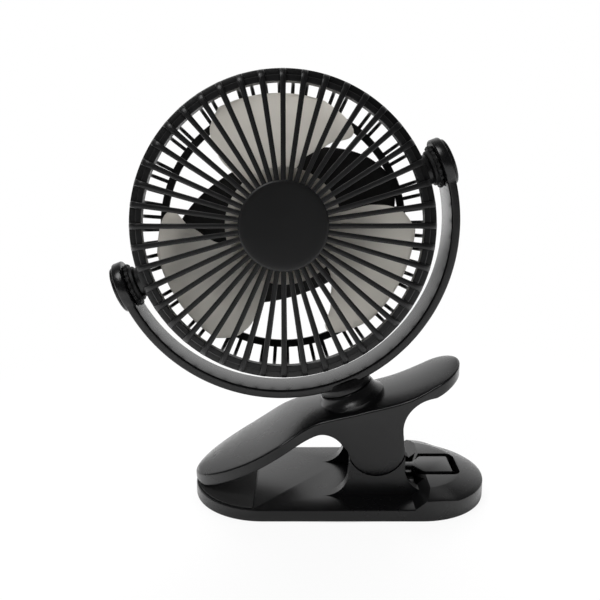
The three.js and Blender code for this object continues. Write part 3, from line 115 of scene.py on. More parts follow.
floor_mesh = bpy.data.meshes.new("studio_floor")
reach, drop = 6.0, 0.0001
corners = [(-reach, -reach, 0), (reach, -reach, 0), (reach, reach, 0), (-reach, reach, 0)]
floor_mesh.from_pydata(corners, [], [(0, 1, 2, 3)])
floor_mesh.materials.append(white_floor())
floor = bpy.data.objects.new("studio_floor", floor_mesh)
bpy.context.scene.collection.objects.link(floor)
floor.location.z = -drop

world = bpy.data.worlds.new("studio_world")
bpy.context.scene.world = world
world.use_nodes = True


def studio_room():
    """White behind the fan, dark grey beside it and above, near black on the camera's side.

    The level follows the Y of the direction. The camera itself sees white.
    """
    nodes, links = world.node_tree.nodes, world.node_tree.links
    nodes.clear()
    output = add_node(nodes, "OutputWorld")
    room = add_node(nodes, "Background")
    backdrop = add_node(nodes, "Background", Color=(1.0, 1.0, 1.0, 1.0))
    mix = add_node(nodes, "MixShader")
    path = add_node(nodes, "LightPath")
    place = add_node(nodes, "TexCoord")
    split = add_node(nodes, "SeparateXYZ")
    remap = add_node(nodes, "MapRange", From_Min=-1.0, From_Max=1.0)
    ramp = add_node(nodes, "ValToRGB")
    stops = ramp.color_ramp.elements
    stops[0].position, stops[0].color = 0.0, (0.04, 0.04, 0.04, 1.0)
    stops[1].position, stops[1].color = 1.0, (1.0, 1.0, 1.0, 1.0)
    for position, grey in ((0.50, 0.10), (0.72, 0.22), (0.88, 0.85)):
        stops.new(position).color = (grey, grey, grey, 1.0)
    wire(links, (place.outputs["Generated"], split.inputs[0]), (split.outputs["Y"], remap.inputs["Value"]),
         (remap.outputs["Result"], ramp.inputs[0]), (ramp.outputs["Color"], room.inputs["Color"]),
         (path.outputs["Is Camera Ray"], mix.inputs[0]), (room.outputs[0], mix.inputs[1]),
         (backdrop.outputs[0], mix.inputs[2]), (mix.outputs[0], output.inputs[0]))


def soft_box(name, place, size, power, mirrored=False):
    """A rectangular area lamp at a place, turned to the fan's middle; its image shows in faces or not."""
    lamp = bpy.data.lights.new(name, "AREA")
    lamp.shape = "RECTANGLE"
    lamp.size, lamp.size_y = size
    lamp.energy = power
    lamp_object = bpy.data.objects.new(name, lamp)
    bpy.context.scene.collection.objects.link(lamp_object)
    lamp_object.location = place
    lamp_object.visible_glossy = mirrored
    fan_middle = Vector((-0.02, 0.0, 0.1))
    lamp_object.rotation_euler = (fan_middle - Vector(place)).to_track_quat("-Z", "Y").to_euler()


studio_room()
soft_box("left_box", (-1.0, -1.1, 0.7), (0.7, 0.7), 13.0)
soft_box("right_box", (1.1, -1.0, 0.5), (0.7, 0.7), 10.0)
soft_box("top_box", (-0.5, -0.45, 1.1), (0.5, 0.5), 6.0, mirrored=True)
soft_box("back_box", (0.0, 1.0, 0.9), (1.4, 1.0), 26.0)


# ---- oval base ----
# One hollow shell moulded in satin black plastic: a flat oval deck with a pocket for the grip pad, a
# raised tail end with a slot for the hook, two cheeks for the clamp's hinge, and posts inside for
# the screws of the underside.

MM = 0.001


def texture(nodes, links, kind, **inputs):
    """A texture on the piece's own coordinates."""
    pattern = add_node(nodes, kind, **inputs)
    links.new(add_node(nodes, "TexCoord").outputs["Object"], pattern.inputs["Vector"])
    return pattern


def emboss(nodes, links, shader, height, distance, strength=1.0):
    """Raises and lowers a shader's surface by a height socket."""
    bump = add_node(nodes, "Bump", Distance=distance, Strength=strength)
    wire(links, (height, bump.inputs["Height"]), (bump.outputs["Normal"], shader.inputs["Normal"]))


def vary(nodes, links, shader, share, colours, roughness):
    """Carries a shader's colour and roughness from one value to the other by a share socket."""
    tint = add_node(nodes, "Mix")
    tint.data_type = "RGBA"
    for socket, colour in zip((6, 7), colours):
        tint.inputs[socket].default_value = (*colour, 1.0)
    gloss = add_node(nodes, "MapRange", To_Min=roughness[0], To_Max=roughness[1])
    wire(links, (share, tint.inputs[0]), (tint.outputs[2], shader.inputs["Base Color"]),
         (share, gloss.inputs["Value"]), (gloss.outputs["Result"], shader.inputs["Roughness"]))


def moulded_plastic(name, colour, roughness, grain=0.00003, grain_scale=1500.0, mottle=0.12):
    """Moulded plastic: a fine grain in the bump, and slow drifts of colour and roughness."""
    material, nodes, links, shader = new_material(name)
    shader.inputs["IOR"].default_value = 1.45
    fine = texture(nodes, links, "TexNoise", Scale=grain_scale, Detail=3.0)
    slow = texture(nodes, links, "TexNoise", Scale=35.0, Detail=4.0)
    emboss(nodes, links, shader, fine.outputs["Fac"], grain, 0.6)
    dark = [c * (1 - mottle) for c in colour]
    light = [min(1.0, c * (1 + mottle)) for c in colour]
    vary(nodes, links, shader, slow.outputs["Fac"], (dark, light),
         (roughness * 0.88, min(1.0, roughness * 1.12)))
    return material


satin_black = moulded_plastic("satin_black_plastic", (0.0024, 0.0024, 0.0026), 0.27)


def make_piece(name, points, faces, material, smooth_below=35.0):
    """A mesh object from millimetre points, its faces smooth except across sharp edges."""
    mesh = bpy.data.meshes.new(name)
    mesh.from_pydata((np.asarray(points, float) * MM).tolist(), [], [list(map(int, f)) for f in faces])
    mesh.update()
    mesh.materials.append(material)
    mesh.polygons.foreach_set("use_smooth", np.ones(len(mesh.polygons), bool))
    mesh.set_sharp_from_angle(angle=np.radians(smooth_below))
    piece = bpy.data.objects.new(name, mesh)
    bpy.context.scene.collection.objects.link(piece)
    return piece


def grid_faces(rows, columns, tube=False):
    """Quads between the closed rows of a grid; a tube also joins the last row to the first."""
    r = np.arange(rows if tube else rows - 1)[:, None]
    c = np.arange(columns)[None, :]
    ahead = (c + 1) % columns
    below = ((r + 1) % rows) * columns
    quads = np.stack([r * columns + c, r * columns + ahead, below + ahead, below + c], axis=-1)
    return quads.reshape(-1, 4).tolist()


def closed_loft(rings):
    """Points and faces of a skin through rings, with a face over each end."""
    rings = np.asarray(rings, float)
    rows, columns = rings.shape[:2]
    faces = grid_faces(rows, columns)
    faces += [list(range(columns))[::-1], [(rows - 1) * columns + k for k in range(columns)]]
    return rings.reshape(-1, 3), faces


def outward(piece):
    """Turns a closed mesh the right way out: its signed volume, summed over faces, is made positive."""
    mesh = piece.data
    mesh.calc_loop_triangles()
    corners = np.array([v.co for v in mesh.vertices])
    triangles = np.array([t.vertices for t in mesh.loop_triangles])
    a, b, c = (corners[triangles[:, k]] for k in range(3))
    if np.einsum("ij,ij->i", a, np.cross(b, c)).sum() < 0:
        mesh.flip_normals()


def skin(name, rings, material=satin_black):
    """A closed piece through rings of points."""
    piece = make_piece(name, *closed_loft(rings), material)
    outward(piece)
    return piece


def base_oval(inset):
    """Points round the base, drawn in by an inset: two half circles joined by straight sides."""
    length, width = base_length - 2 * inset, base_width - 2 * inset
    middle = (length - width) / 2
    angle = np.linspace(-np.pi / 2, np.pi / 2, 48)
    x = np.concatenate([middle + width / 2 * np.cos(angle), -middle - width / 2 * np.cos(angle)])
    y = np.concatenate([width / 2 * np.sin(angle), -width / 2 * np.sin(angle)])
    return np.stack([x, y], axis=1)


def circle(radius, x=0.0, y=0.0, steps=96):
    """Points round a circle."""
    angle = np.linspace(0, 2 * np.pi, steps, endpoint=False)
    return np.column_stack([x + radius * np.cos(angle), y + radius * np.sin(angle)])


def mirrored(upper):
    """An outline from its upper half: the same points again with Y turned round."""
    upper = np.asarray(upper, float)
    return np.concatenate([upper, (upper * [1, -1])[::-1]])


def at_height(outline, height):
    """A flat outline as points at one height."""
    return np.column_stack([outline, np.full(len(outline), height)])


def prism(name, outline, low, high, material=satin_black, across=False):
    """An outline carried straight up; across, it is drawn in X and Z and carried along Y."""
    order = [0, 2, 1] if across else [0, 1, 2]
    return skin(name, [at_height(outline, height)[:, order] for height in (low, high)], material)


def merge(piece, tool, operation):
    """Joins, cuts or meets a closed piece with another, and removes the other."""
    modifier = piece.modifiers.new("merge", "BOOLEAN")
    modifier.operation = operation
    modifier.object = tool
    modifier.solver = "EXACT"
    shape = piece.evaluated_get(bpy.context.evaluated_depsgraph_get())
    merged = bpy.data.meshes.new_from_object(shape)
    piece.modifiers.clear()
    piece.data = merged
    bpy.data.objects.remove(tool)


def soften(piece, width, steps=3):
    """Rounds the sharp edges by a width in millimetres, and keeps the flat faces flat in their shading."""
    piece.data.polygons.foreach_set("use_smooth", np.ones(len(piece.data.polygons), bool))
    bevel = piece.modifiers.new("soft_edges", "BEVEL")
    bevel.width = width * MM
    bevel.segments = steps
    bevel.limit_method = "ANGLE"
    bevel.angle_limit = np.radians(32.0)
    bevel.harden_normals = True
    bevel.use_clamp_overlap = True
    return piece


gap = 0.3
base_length, base_width = 144.6, 69.8
base_end = base_length / 2
deck, shell_wall, pad_length = 6.5, 2.0, 30.2
hump_start, hump_lean, hump_top, hump_rim = base_end - 38.4, 38.8, 13.1, 8.9
hook_length, hook_end_margin = 24.5, 16.1
hook_pivot_x = base_end - hook_end_margin - hook_length
hook_neck = 5.9
well_start, well_end, well_half = hook_pivot_x - 2 * gap, hook_pivot_x + 28.0, 12.05
hinge_x, hinge_z = base_end - 55.5, deck + 24.3
arm_half = 21.0
leg_radius, leg_thickness = 13.8, 2.6
screw_places = [(x, side * y) for x, y in ((22 - base_end, 20.9), (base_end - 9, 11.9))
                for side in (-1, 1)]


def slab_rings():
    """Ovals stacked from the skirt to the deck, drawn in at both edges."""
    steps = [(0.5, 0.4), (0.1, 0.6), (0.0, 1.0), (0.0, deck - 0.8), (0.08, deck - 0.4), (0.3, deck - 0.1),
             (0.7, deck)]
    return [at_height(base_oval(inset), height) for inset, height in steps]


def hump_rings():
    """Rings from the oval's side over the rim and up a slope to the flat top's edge.

    The slope's height grows with the share of its run, plus a shallow sine that domes it.
    """
    middle, side = (base_length - base_width) / 2, base_width / 2
    slope_x, slope_y = 11.9, 9.0
    angle = np.linspace(-np.pi / 2, np.pi / 2, 65)
    across = np.sin(angle)
    lift = np.clip((np.abs(across) - 0.85) / 0.15, 0, 1)
    rim = hump_rim + 1.9 * lift ** 2 * (3 - 2 * lift)
    rows = [(0.0, np.full(angle.shape, 1.0)), (0.0, rim - 0.7), (0.012, rim - 0.2), (0.04, rim)]
    for share in np.linspace(0.12, 0.96, 8):
        rows.append((share, rim + (hump_top - rim) * (share + 0.06 * np.sin(np.pi * share))))
    rows.append((1.0, np.full(angle.shape, hump_top)))
    rings = []
    for share, height in rows:
        reach_x, reach_y = side - slope_x * share, side - slope_y * share
        x = np.concatenate([[0.0], middle + reach_x * np.cos(angle), [0.0]])
        y = np.concatenate([[-reach_y], reach_y * across, [reach_y]])
        z = np.concatenate([[height[0]], height, [height[-1]]])
        rings.append(np.column_stack([x, y, z]))
    return rings


def join_hump(base):
    """The raised tail end: its domed rings, met with a side view whose front leans back."""
    hump = skin("hump", hump_rings())
    low, high = 1.2, hump_top + 1
    run = (high - deck) / np.tan(np.radians(hump_lean))
    side = [[hump_start, low], [hump_start, deck], [hump_start + run, high], [base_end + 1, high],
            [base_end + 1, low]]
    merge(hump, prism("hump_side", side, -base_width, base_width, across=True), "INTERSECT")
    merge(base, hump, "UNION")


def cheek_outline():
    """The hinge cheek from the side: its foot flares into the deck along an arc left and right."""
    left, right, flare = hinge_x - 13.4, hinge_x + 13.6, 11.8
    foot, top = deck - 1.0, hinge_z - 1.0
    a = np.radians(np.linspace(-90, 0, 20))
    b = np.radians(np.linspace(180, 248, 18))
    first = np.column_stack([left - flare + flare * np.cos(a), deck + flare + flare * np.sin(a)])
    last = np.column_stack([right + flare + flare * np.cos(b), deck + flare + 2.0 + flare * np.sin(b)])
    return np.concatenate([[[left - flare, foot]], first, [[left + 1.0, top], [right, top - 2.3]], last,
                           [[right + flare * 0.62, foot]]])


def join_cheeks(base):
    """Each cheek: an outer wall notched round the arm's leg, and a wall with a round ear inside it."""
    inner_wall, overlap, ear_radius = 2.4, 0.2, 8.5
    for sign in (-1, 1):
        split = sign * (arm_half - leg_thickness - gap)
        outer = sign * arm_half
        cheek = prism("cheek", cheek_outline(), *sorted((split - sign * overlap, outer)), across=True)
        leg_room = circle(leg_radius + gap, hinge_x, hinge_z)
        notch = prism("notch", leg_room, *sorted((split, outer + sign * 2)), across=True)
        merge(cheek, notch, "DIFFERENCE")
        merge(base, cheek, "UNION")
        span = sorted((split - sign * inner_wall, split))
        plate = prism("plate", cheek_outline(), *span, across=True)
        merge(plate, prism("ear", circle(ear_radius, hinge_x, hinge_z), *span, across=True), "UNION")
        merge(base, plate, "UNION")


def cut_hook_room(base):
    """The slot round the hook, the well below it and the finger recess in the slope before it."""
    slot_neck, recess_neck, recess_half, floor_cut = 4.0, 5.6, 14.7, 4.5
    neck_x = hook_pivot_x + hook_neck
    slot = mirrored([[hook_pivot_x - gap, slot_neck], [neck_x, slot_neck], [neck_x + 4.4, well_half],
                     [well_end - 3.5, well_half], [well_end - 1.2, well_half - 1.0],
                     [well_end, well_half - 3.5]])
    merge(base, prism("slot", slot, floor_cut, hump_top + 1), "DIFFERENCE")
    well = mirrored([[well_start, well_half], [well_end, well_half]])
    merge(base, prism("well", well, -1, deck - gap), "DIFFERENCE")
    recess = mirrored([[0.0, recess_half], [neck_x + 3.4, recess_half], [neck_x, recess_neck]])
    merge(base, prism("recess", recess, deck, hump_top + 1), "DIFFERENCE")


def hollow_out(base):
    """Empties the slab from below, but for a wall round the hook's well and four screw posts."""
    post_radius, post_foot = 3.4, 3.2
    hollow = prism("hollow", base_oval(shell_wall), -1, deck - shell_wall)
    half = well_half + shell_wall
    well_wall = mirrored([[well_start - shell_wall, half], [well_end + shell_wall, half]])
    merge(hollow, prism("well_wall", well_wall, -2, deck), "DIFFERENCE")
    for x, y in screw_places:
        merge(hollow, prism("post", circle(post_radius, x, y, 48), post_foot, deck), "DIFFERENCE")
    merge(base, hollow, "DIFFERENCE")


def jaw_end_outline(end):
    """A rectangle over the jaw's end of the oval, as far as a length from it."""
    return mirrored([[-base_end - 2, 40.0], [-base_end + end, 40.0]])


def base_piece():
    """The slab with its raised end and cheeks, cut for the hook, hollowed, and cut for the grip pad."""
    base = skin("base_body", slab_rings())
    join_hump(base)
    join_cheeks(base)
    cut_hook_room(base)
    hollow_out(base)
    pocket_margin, pocket_depth = 0.9, 0.5
    bite = prism("pocket", base_oval(pocket_margin), deck - pocket_depth, deck + 2)
    merge(bite, prism("window", jaw_end_outline(pad_length + gap), deck - 1, deck + 1), "INTERSECT")
    merge(base, bite, "DIFFERENCE")
    return soften(base, 0.35)


base_body = base_piece()
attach(base_body, "base")
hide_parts("base_shell")


# ---- clamp arm ----
# One long lever in the same plastic: a broad rounded jaw at the left, a waist over the hinge and a
# raised tail. It is a crowned top with thin walls round a hollow, a leg down each side to the hinge
# pin, and a flared round seat for the yoke's collar.

arm_tip, arm_tail = -base_end - 0.2, hinge_x + 41.4
jaw_half, tail_half = 27.5, 17.5
jaw_round, tail_round = 42.0, 12.0
jaw_lip, lip_drop, arch_radius = 8.0, 6.0, 12.6
arm_crown, arm_skin, arm_wall = 2.0, 2.4, 2.0
lean = np.radians(21.0)
post_axis = np.array([-np.sin(lean), 0.0, np.cos(lean)])


def edge_curve():
    """The arm's edge from the side: a Catmull-Rom curve through six points, as X and Z columns."""
    knots = np.array([[arm_tip, jaw_lip + 3.0], [arm_tip + 27.5, deck + 18.9],
                      [arm_tip + 54.5, deck + 34.6], [arm_tip + 82.5, deck + 42.2],
                      [arm_tip + 105.5, deck + 48.9], [arm_tail, deck + 62.5]])
    padded = np.concatenate([knots[:1], knots, knots[-1:]])
    t = np.linspace(0, 1, 40, endpoint=False)[:, None]
    spans = []
    for k in range(len(knots) - 1):
        a, b, c, d = padded[k:k + 4]
        v, w = (c - a) / 2, (d - b) / 2
        spans.append((2 * b - 2 * c + v + w) * t ** 3 + (-3 * b + 3 * c - 2 * v - w) * t ** 2 + v * t + b)
    return np.concatenate(spans + [knots[-1:]])


arm_edge = edge_curve()


def edge_at(x):
    """Height of the arm's edge at x."""
    return np.interp(x, arm_edge[:, 0], arm_edge[:, 1])


def lip_at(x):
    """Height of the lower lip of the arm's walls at x."""
    return np.maximum(jaw_lip, edge_at(x) - lip_drop)


def ease(t):
    """A smooth step from 0 to 1: three times t squared, less twice t cubed."""
    t = np.clip(t, 0, 1)
    return t * t * (3 - 2 * t)


def half_width(x):
    """Half the arm's width between its rounded ends: jaw, waist and tail, joined by smooth steps."""
    jaw_end, tail_start = arm_tip + jaw_round, hinge_x + leg_radius
    waist = hinge_x - leg_radius - arch_radius
    jaw = jaw_half - (jaw_half - arm_half) * ease((x - jaw_end) / (waist - jaw_end))
    tail = arm_half - (arm_half - tail_half) * ease((x - tail_start) / (arm_tail - tail_start))
    return np.where(x < hinge_x, jaw, tail)


def path_length(points):
    """Length along a row of points, at each of them."""
    return np.concatenate([[0], np.cumsum(np.linalg.norm(np.diff(points, axis=0), axis=1))])


def smoothed(points, spread, step=0.5):
    """A row of points spaced evenly and averaged along its length by a bell curve; its ends stay put."""
    run = path_length(points)
    even = np.linspace(0, run[-1], int(run[-1] / step) + 1)
    rows = np.column_stack([np.interp(even, run, points[:, k]) for k in range(points.shape[1])])
    weight = np.exp(-0.5 * ((even[:, None] - even[None, :]) / spread) ** 2)
    blurred = weight @ rows / weight.sum(axis=1)[:, None]
    near_end = np.minimum(even, run[-1] - even)
    keep = ease(near_end / (3 * spread))[:, None]
    return rows * (1 - keep) + blurred * keep


def arc(x, z, radius, start, end, steps):
    """Points on an arc, angles in degrees."""
    angle = np.radians(np.linspace(start, end, steps))
    return np.column_stack([x + radius * np.cos(angle), z + radius * np.sin(angle)])


def wall_curves():
    """Lower outline of the side wall with its leg, and the edge above each of its points."""
    fillet_radius = 15.5
    arch_x = hinge_x - leg_radius - 0.5 - arch_radius
    fillet_x = hinge_x + leg_radius - 1.5 + fillet_radius
    left = np.linspace(arm_tip + jaw_round, arch_x, 30)
    right = np.linspace(fillet_x, arm_tail - tail_round, 6)[1:]
    rows = [np.column_stack([left, lip_at(left)]),
            arc(arch_x, lip_at(arch_x) - arch_radius, arch_radius, 90, 24, 30)[1:],
            arc(hinge_x, hinge_z, leg_radius, 183, 350, 80),
            arc(fillet_x, lip_at(fillet_x) - fillet_radius, fillet_radius, 180, 95, 40),
            np.column_stack([right, lip_at(right)])]
    low = smoothed(np.concatenate(rows), 1.6)
    run = path_length(low)
    first, last = (np.argmin(np.linalg.norm(low - [x, lip_at(x)], axis=1)) for x in (arch_x, fillet_x))
    top_x = low[:, 0].copy()
    share = (run[first:last + 1] - run[first]) / (run[last] - run[first])
    top_x[first:last + 1] = low[first, 0] + share * (low[last, 0] - low[first, 0])
    return low, top_x


def unit(vectors):
    """Vectors of length one."""
    return vectors / np.linalg.norm(vectors, axis=1)[:, None]


def arm_plan():
    """The arm's edge from above, the wall's lower edge below it, and which points are between the ends."""
    low, top_x = wall_curves()
    angle = np.radians(np.concatenate([[0, 2, 5], np.linspace(9, 86, 19)]))
    jaw = np.column_stack([arm_tip + jaw_round * (1 - np.cos(angle)), jaw_half * np.sin(angle)])
    tail_x = arm_tail - tail_round * (1 - np.cos(angle))
    tail = np.column_stack([tail_x, half_width(tail_x) * np.sin(angle)])[::-1]
    plan = np.concatenate([jaw, np.column_stack([top_x, half_width(top_x)]), tail])
    bottom = np.concatenate([np.column_stack([jaw[:, 0], lip_at(jaw[:, 0])]), low,
                             np.column_stack([tail[:, 0], lip_at(tail[:, 0])])])
    inside = np.arange(len(plan))
    return plan, bottom, (inside >= len(jaw)) & (inside < len(plan) - len(tail))


def arm_rings():
    """One closed ring for each point of the wall: outer wall, rounded edge, crown, inner wall, ceiling."""
    plan, bottom, inside = arm_plan()
    along, below = np.gradient(plan, axis=0), np.gradient(bottom, axis=0)
    normal = unit(np.column_stack([-along[:, 1], along[:, 0]]))
    normal[0], normal[-1] = (-1, 0), (1, 0)
    lift = unit(np.column_stack([-below[:, 1], below[:, 0]]))
    off_lip = np.abs(bottom[:, 0] - plan[:, 0]) + np.maximum(0, lip_at(bottom[:, 0]) - bottom[:, 1])
    leg = (inside & (off_lip > 1.0)).astype(float)
    thicker = np.convolve(np.pad(leg, 10, "edge"), np.ones(21) / 21, "valid")
    wall = arm_wall + (leg_thickness - arm_wall) * thicker
    half = plan[:, 1]
    full_crown = 20.0
    crown = arm_crown * np.sqrt(np.clip(half / full_crown, 0, 1))
    corner, rim, rim_middle = 0.8, 0.5, 0.15

    def wall_point(share, inset, raised):
        """A point of the wall at a share of its height, set in from its face and up from its rim."""
        x = bottom[:, 0] + lift[:, 0] * raised
        z = bottom[:, 1] + lift[:, 1] * raised
        x = x + share * (plan[:, 0] - x)
        z = z + share * (edge_at(plan[:, 0]) - corner - z)
        y = np.where(inside, half_width(x), half)
        x = np.where(inside, x, plan[:, 0])
        return np.column_stack([x - inset * normal[:, 0], y - inset * normal[:, 1], z])

    def roof_point(inset, across, drop):
        """A point of the roof: inset from the edge, at a share of the half width; a parabola across."""
        x = plan[:, 0] - inset * normal[:, 0]
        y = (half - inset * normal[:, 1]) * across
        z = edge_at(x) + crown * (1 - (y / np.maximum(half, 0.5)) ** 2) - drop
        return np.column_stack([x, y, z])

    columns = [wall_point(0, rim, 0.0), wall_point(0, rim_middle, rim_middle)]
    columns += [wall_point(share, 0.0, rim) for share in (0.0, 0.2, 0.4, 0.6, 0.8, 1.0)]
    for a in np.radians([25, 50, 75]):
        columns.append(roof_point(corner * (1 - np.cos(a)), 1.0, corner * (1 - np.sin(a))))
    columns += [roof_point(corner, across, 0.0) for across in (1.0, 0.93, 0.8, 0.6, 0.4, 0.2)]
    middle = [roof_point(corner, 0.0, 0.0)]
    inner = [roof_point(wall, across, arm_skin) for across in (0.25, 0.5, 0.75, 1.0)]
    inner += [wall_point(share, wall, rim) for share in (0.6, 0.3, 0.0)]
    inner += [wall_point(0, wall - rim_middle, rim_middle), wall_point(0, wall - rim, 0.0)]
    ceiling = [roof_point(wall, 0.0, arm_skin)]
    flip = np.array([1, -1, 1])
    loop = columns + middle + [c * flip for c in columns[::-1]]
    loop += [c * flip for c in inner[::-1]] + ceiling + inner
    return np.stack(loop, axis=1)


def weld(piece, distance=0.002):
    """Joins points that lie together, as on a folded end, and drops the faces that collapse."""
    shape = bmesh.new()
    shape.from_mesh(piece.data)
    bmesh.ops.remove_doubles(shape, verts=shape.verts, dist=distance * MM)
    bmesh.ops.dissolve_degenerate(shape, edges=shape.edges, dist=distance * MM / 2)
    shape.to_mesh(piece.data)
    shape.free()
    outward(piece)


def placed(points, place):
    """Points of a local frame, turned and moved to their place: (turn, origin)."""
    return np.asarray(points, float) @ place[0].T + place[1]


def turned(name, profile, place, material=satin_black, steps=96):
    """A closed profile of radius and height turned round Z, then laid at a place."""
    rings = [at_height(circle(radius, steps=steps), height) for radius, height in profile]
    points = placed(np.concatenate(rings), place)
    piece = make_piece(name, points, grid_faces(len(profile), steps, tube=True), material)
    weld(piece)
    piece.data.set_sharp_from_angle(angle=np.radians(35.0))
    return piece


post_x, seat_rise = hinge_x - 11.8, 5.5
lean_turn = np.array([[np.cos(lean), 0, -np.sin(lean)], [0, 1, 0], [np.sin(lean), 0, np.cos(lean)]])
seat_top = np.array([post_x, 0.0, edge_at(post_x) + arm_crown]) + post_axis * seat_rise
seat_place = (lean_turn, seat_top)

wall_rings = arm_rings()
wall_faces = grid_faces(*wall_rings.shape[:2])
clip_arm = make_piece("clamp_arm", wall_rings.reshape(-1, 3), wall_faces, satin_black)
weld(clip_arm)
seat = [[0, -11], [17.3, -11], [17.3, -5.6], [16.6, -5.0], [15.6, -4.2], [14.7, -3.1], [14.0, -1.9],
        [13.6, -0.9], [13.4, -0.3], [13.1, 0.0], [0, 0]]
post_bore = [[0, -30], [5.3, -30], [5.3, 1], [0, 1]]
merge(clip_arm, turned("seat", seat, seat_place), "UNION")
merge(clip_arm, turned("bore", post_bore, seat_place), "DIFFERENCE")
clip_arm.data.set_sharp_from_angle(angle=np.radians(38))
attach(clip_arm, "clip_arm")
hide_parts("clip_arm")


# ---- yoke ----
# A half ring round the lower side of the head, with a round plate at each end and a collar that
# turns on the arm's seat. It is one moulding in the same satin black: a broad flat band, soft edged.

swivel, tilt = np.radians(3.7), np.radians(6.2)
collar_height = 3.2
head_radius = 70.0
yoke_inner, yoke_outer, yoke_depth = head_radius + 7.9, head_radius + 12.0, 20.0
head_centre = seat_top + post_axis * (gap + collar_height + yoke_outer)


def turn_about(axis, angle):
    """A rotation matrix about one of the three axes."""
    return np.array(Matrix.Rotation(angle, 3, axis))


yoke_turn = turn_about("Y", -lean) @ turn_about("Z", swivel)
head_turn = yoke_turn @ turn_about("X", np.pi / 2 - tilt)
yoke_place = (yoke_turn, head_centre)
head_place = (head_turn, head_centre)


def rounded_box_outline(half_u, half_v, radius, steps=5):
    """A rectangle whose corners are quarter circles, as points round it."""
    corners = [(1, 1, 0), (-1, 1, 90), (-1, -1, 180), (1, -1, 270)]
    parts = []
    for u, v, start in corners:
        angle = np.radians(np.linspace(start, start + 90, steps))
        parts.append(np.column_stack([u * (half_u - radius) + radius * np.cos(angle),
                                      v * (half_v - radius) + radius * np.sin(angle)]))
    return np.concatenate(parts)


def yoke_band():
    """The half ring: a rounded rectangle carried along a half circle from pivot to pivot."""
    profile = rounded_box_outline((yoke_outer - yoke_inner) / 2, yoke_depth / 2, 0.9)
    radius = (yoke_outer + yoke_inner) / 2 + profile[:, 0]
    rings = [np.column_stack([radius * np.cos(angle), profile[:, 1], radius * np.sin(angle)])
             for angle in np.radians(np.linspace(180.0, 360.0, 145))]
    return skin("yoke_ring", placed(rings, yoke_place))


def along_pivot(side, place):
    """A place whose Z runs outwards along the pivot axis on one side."""
    return place[0] @ turn_about("Y", side * np.pi / 2), place[1]


yoke_end_face = np.sqrt(yoke_inner ** 2 - 10.2 ** 2)
collar_low = -yoke_outer - collar_height
screw_bore, screw_seat, screw_floor = 3.3, 5.8, yoke_outer - 2.0
yoke_ring = yoke_band()
end_plate = [[0, yoke_end_face], [11.9, yoke_end_face], [12.3, yoke_end_face + 0.2],
             [12.5, yoke_end_face + 0.6], [12.5, yoke_outer - 0.8], [12.3, yoke_outer - 0.3],
             [11.8, yoke_outer], [0, yoke_outer]]
screw_room = [[0, yoke_end_face - 2], [screw_bore, yoke_end_face - 2], [screw_bore, screw_floor],
              [screw_seat, screw_floor], [screw_seat, yoke_outer + 1], [0, yoke_outer + 1]]
for side in (-1, 1):
    merge(yoke_ring, turned("end_plate", end_plate, along_pivot(side, yoke_place)), "UNION")
    merge(yoke_ring, turned("screw_room", screw_room, along_pivot(side, yoke_place)), "DIFFERENCE")
collar = [[0, collar_low - 11.8], [5, collar_low - 11.8], [5, collar_low], [12.6, collar_low],
          [13.0, collar_low + 0.4], [13.0, collar_low + 2.6], [12.7, -yoke_outer + 0.1],
          [12.2, -yoke_outer + 1.0], [11.6, -yoke_outer + 2.2], [0, -yoke_outer + 2.2]]
merge(yoke_ring, turned("collar", collar, yoke_place), "UNION")
yoke_ring.data.set_sharp_from_angle(angle=np.radians(38))
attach(yoke_ring, "yoke")
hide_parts("yoke")


# ---- pivot caps and toothed discs ----
# A shallow domed cap closes each end plate. On the head's side a black toothed disc with a smooth
# step behind it runs against the plate; its teeth are evenly spaced and slightly rounded.

matt_black = moulded_plastic("matt_black_plastic", (0.0018, 0.0018, 0.0020), 0.6, grain=0.00002)
foot = yoke_outer + gap
dome = [[0, foot], [10.7, foot], [11.0, foot + 0.2], [11.0, foot + 0.7], [10.8, foot + 1.1],
        [10.2, foot + 1.4], [8.0, foot + 1.75], [5.0, foot + 1.95], [2.5, foot + 2.0], [0, foot + 2.0]]
for side, word in ((-1, "left"), (1, "right")):
    cap = turned("end_cap_" + word, dome, along_pivot(side, yoke_place))
    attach(cap, "yoke")
    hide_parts("pivot_cap_" + word)

disc_outer, disc_depth = yoke_end_face - gap, 3.4


def toothed_disc(name, side):
    """A disc whose rim follows a clipped cosine, twenty waves round, stepped down to a smooth boss."""
    steps, teeth = 400, 20
    bore, boss, step = screw_bore, 8.36, 1.75
    angle = np.linspace(0, 2 * np.pi, steps, endpoint=False)
    tooth = 9.75 + 0.45 * np.clip(1.6 * np.cos(teeth * angle), -1, 1)
    boss_low = disc_outer - disc_depth
    rows = [(bore, disc_outer), (tooth - 0.35, disc_outer), (tooth, disc_outer - 0.25),
            (tooth, disc_outer - 1.5), (tooth - 0.3, disc_outer - step), (boss, disc_outer - step),
            (boss, boss_low + 0.3), (8.1, boss_low), (bore, boss_low)]
    rings = [np.column_stack([radius * np.cos(angle), radius * np.sin(angle), np.full(steps, height)])
             for radius, height in rows]
    points = placed(np.concatenate(rings), along_pivot(side, head_place))
    disc = make_piece(name, points, grid_faces(len(rows), steps, tube=True), matt_black)
    outward(disc)
    return disc


for side, word in ((-1, "left"), (1, "right")):
    disc = toothed_disc("toothed_disc_" + word, side)
    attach(disc, "head")
    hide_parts("ratchet_" + word)


# ---- drum and front guard ----
# The drum is a plain ring with a narrow front lip and a smooth round boss at each pivot. Forty-four
# ribs run from a plain round disc over a rounded shoulder and end flush on the drum's lip, tied by a
# flat hoop behind them.

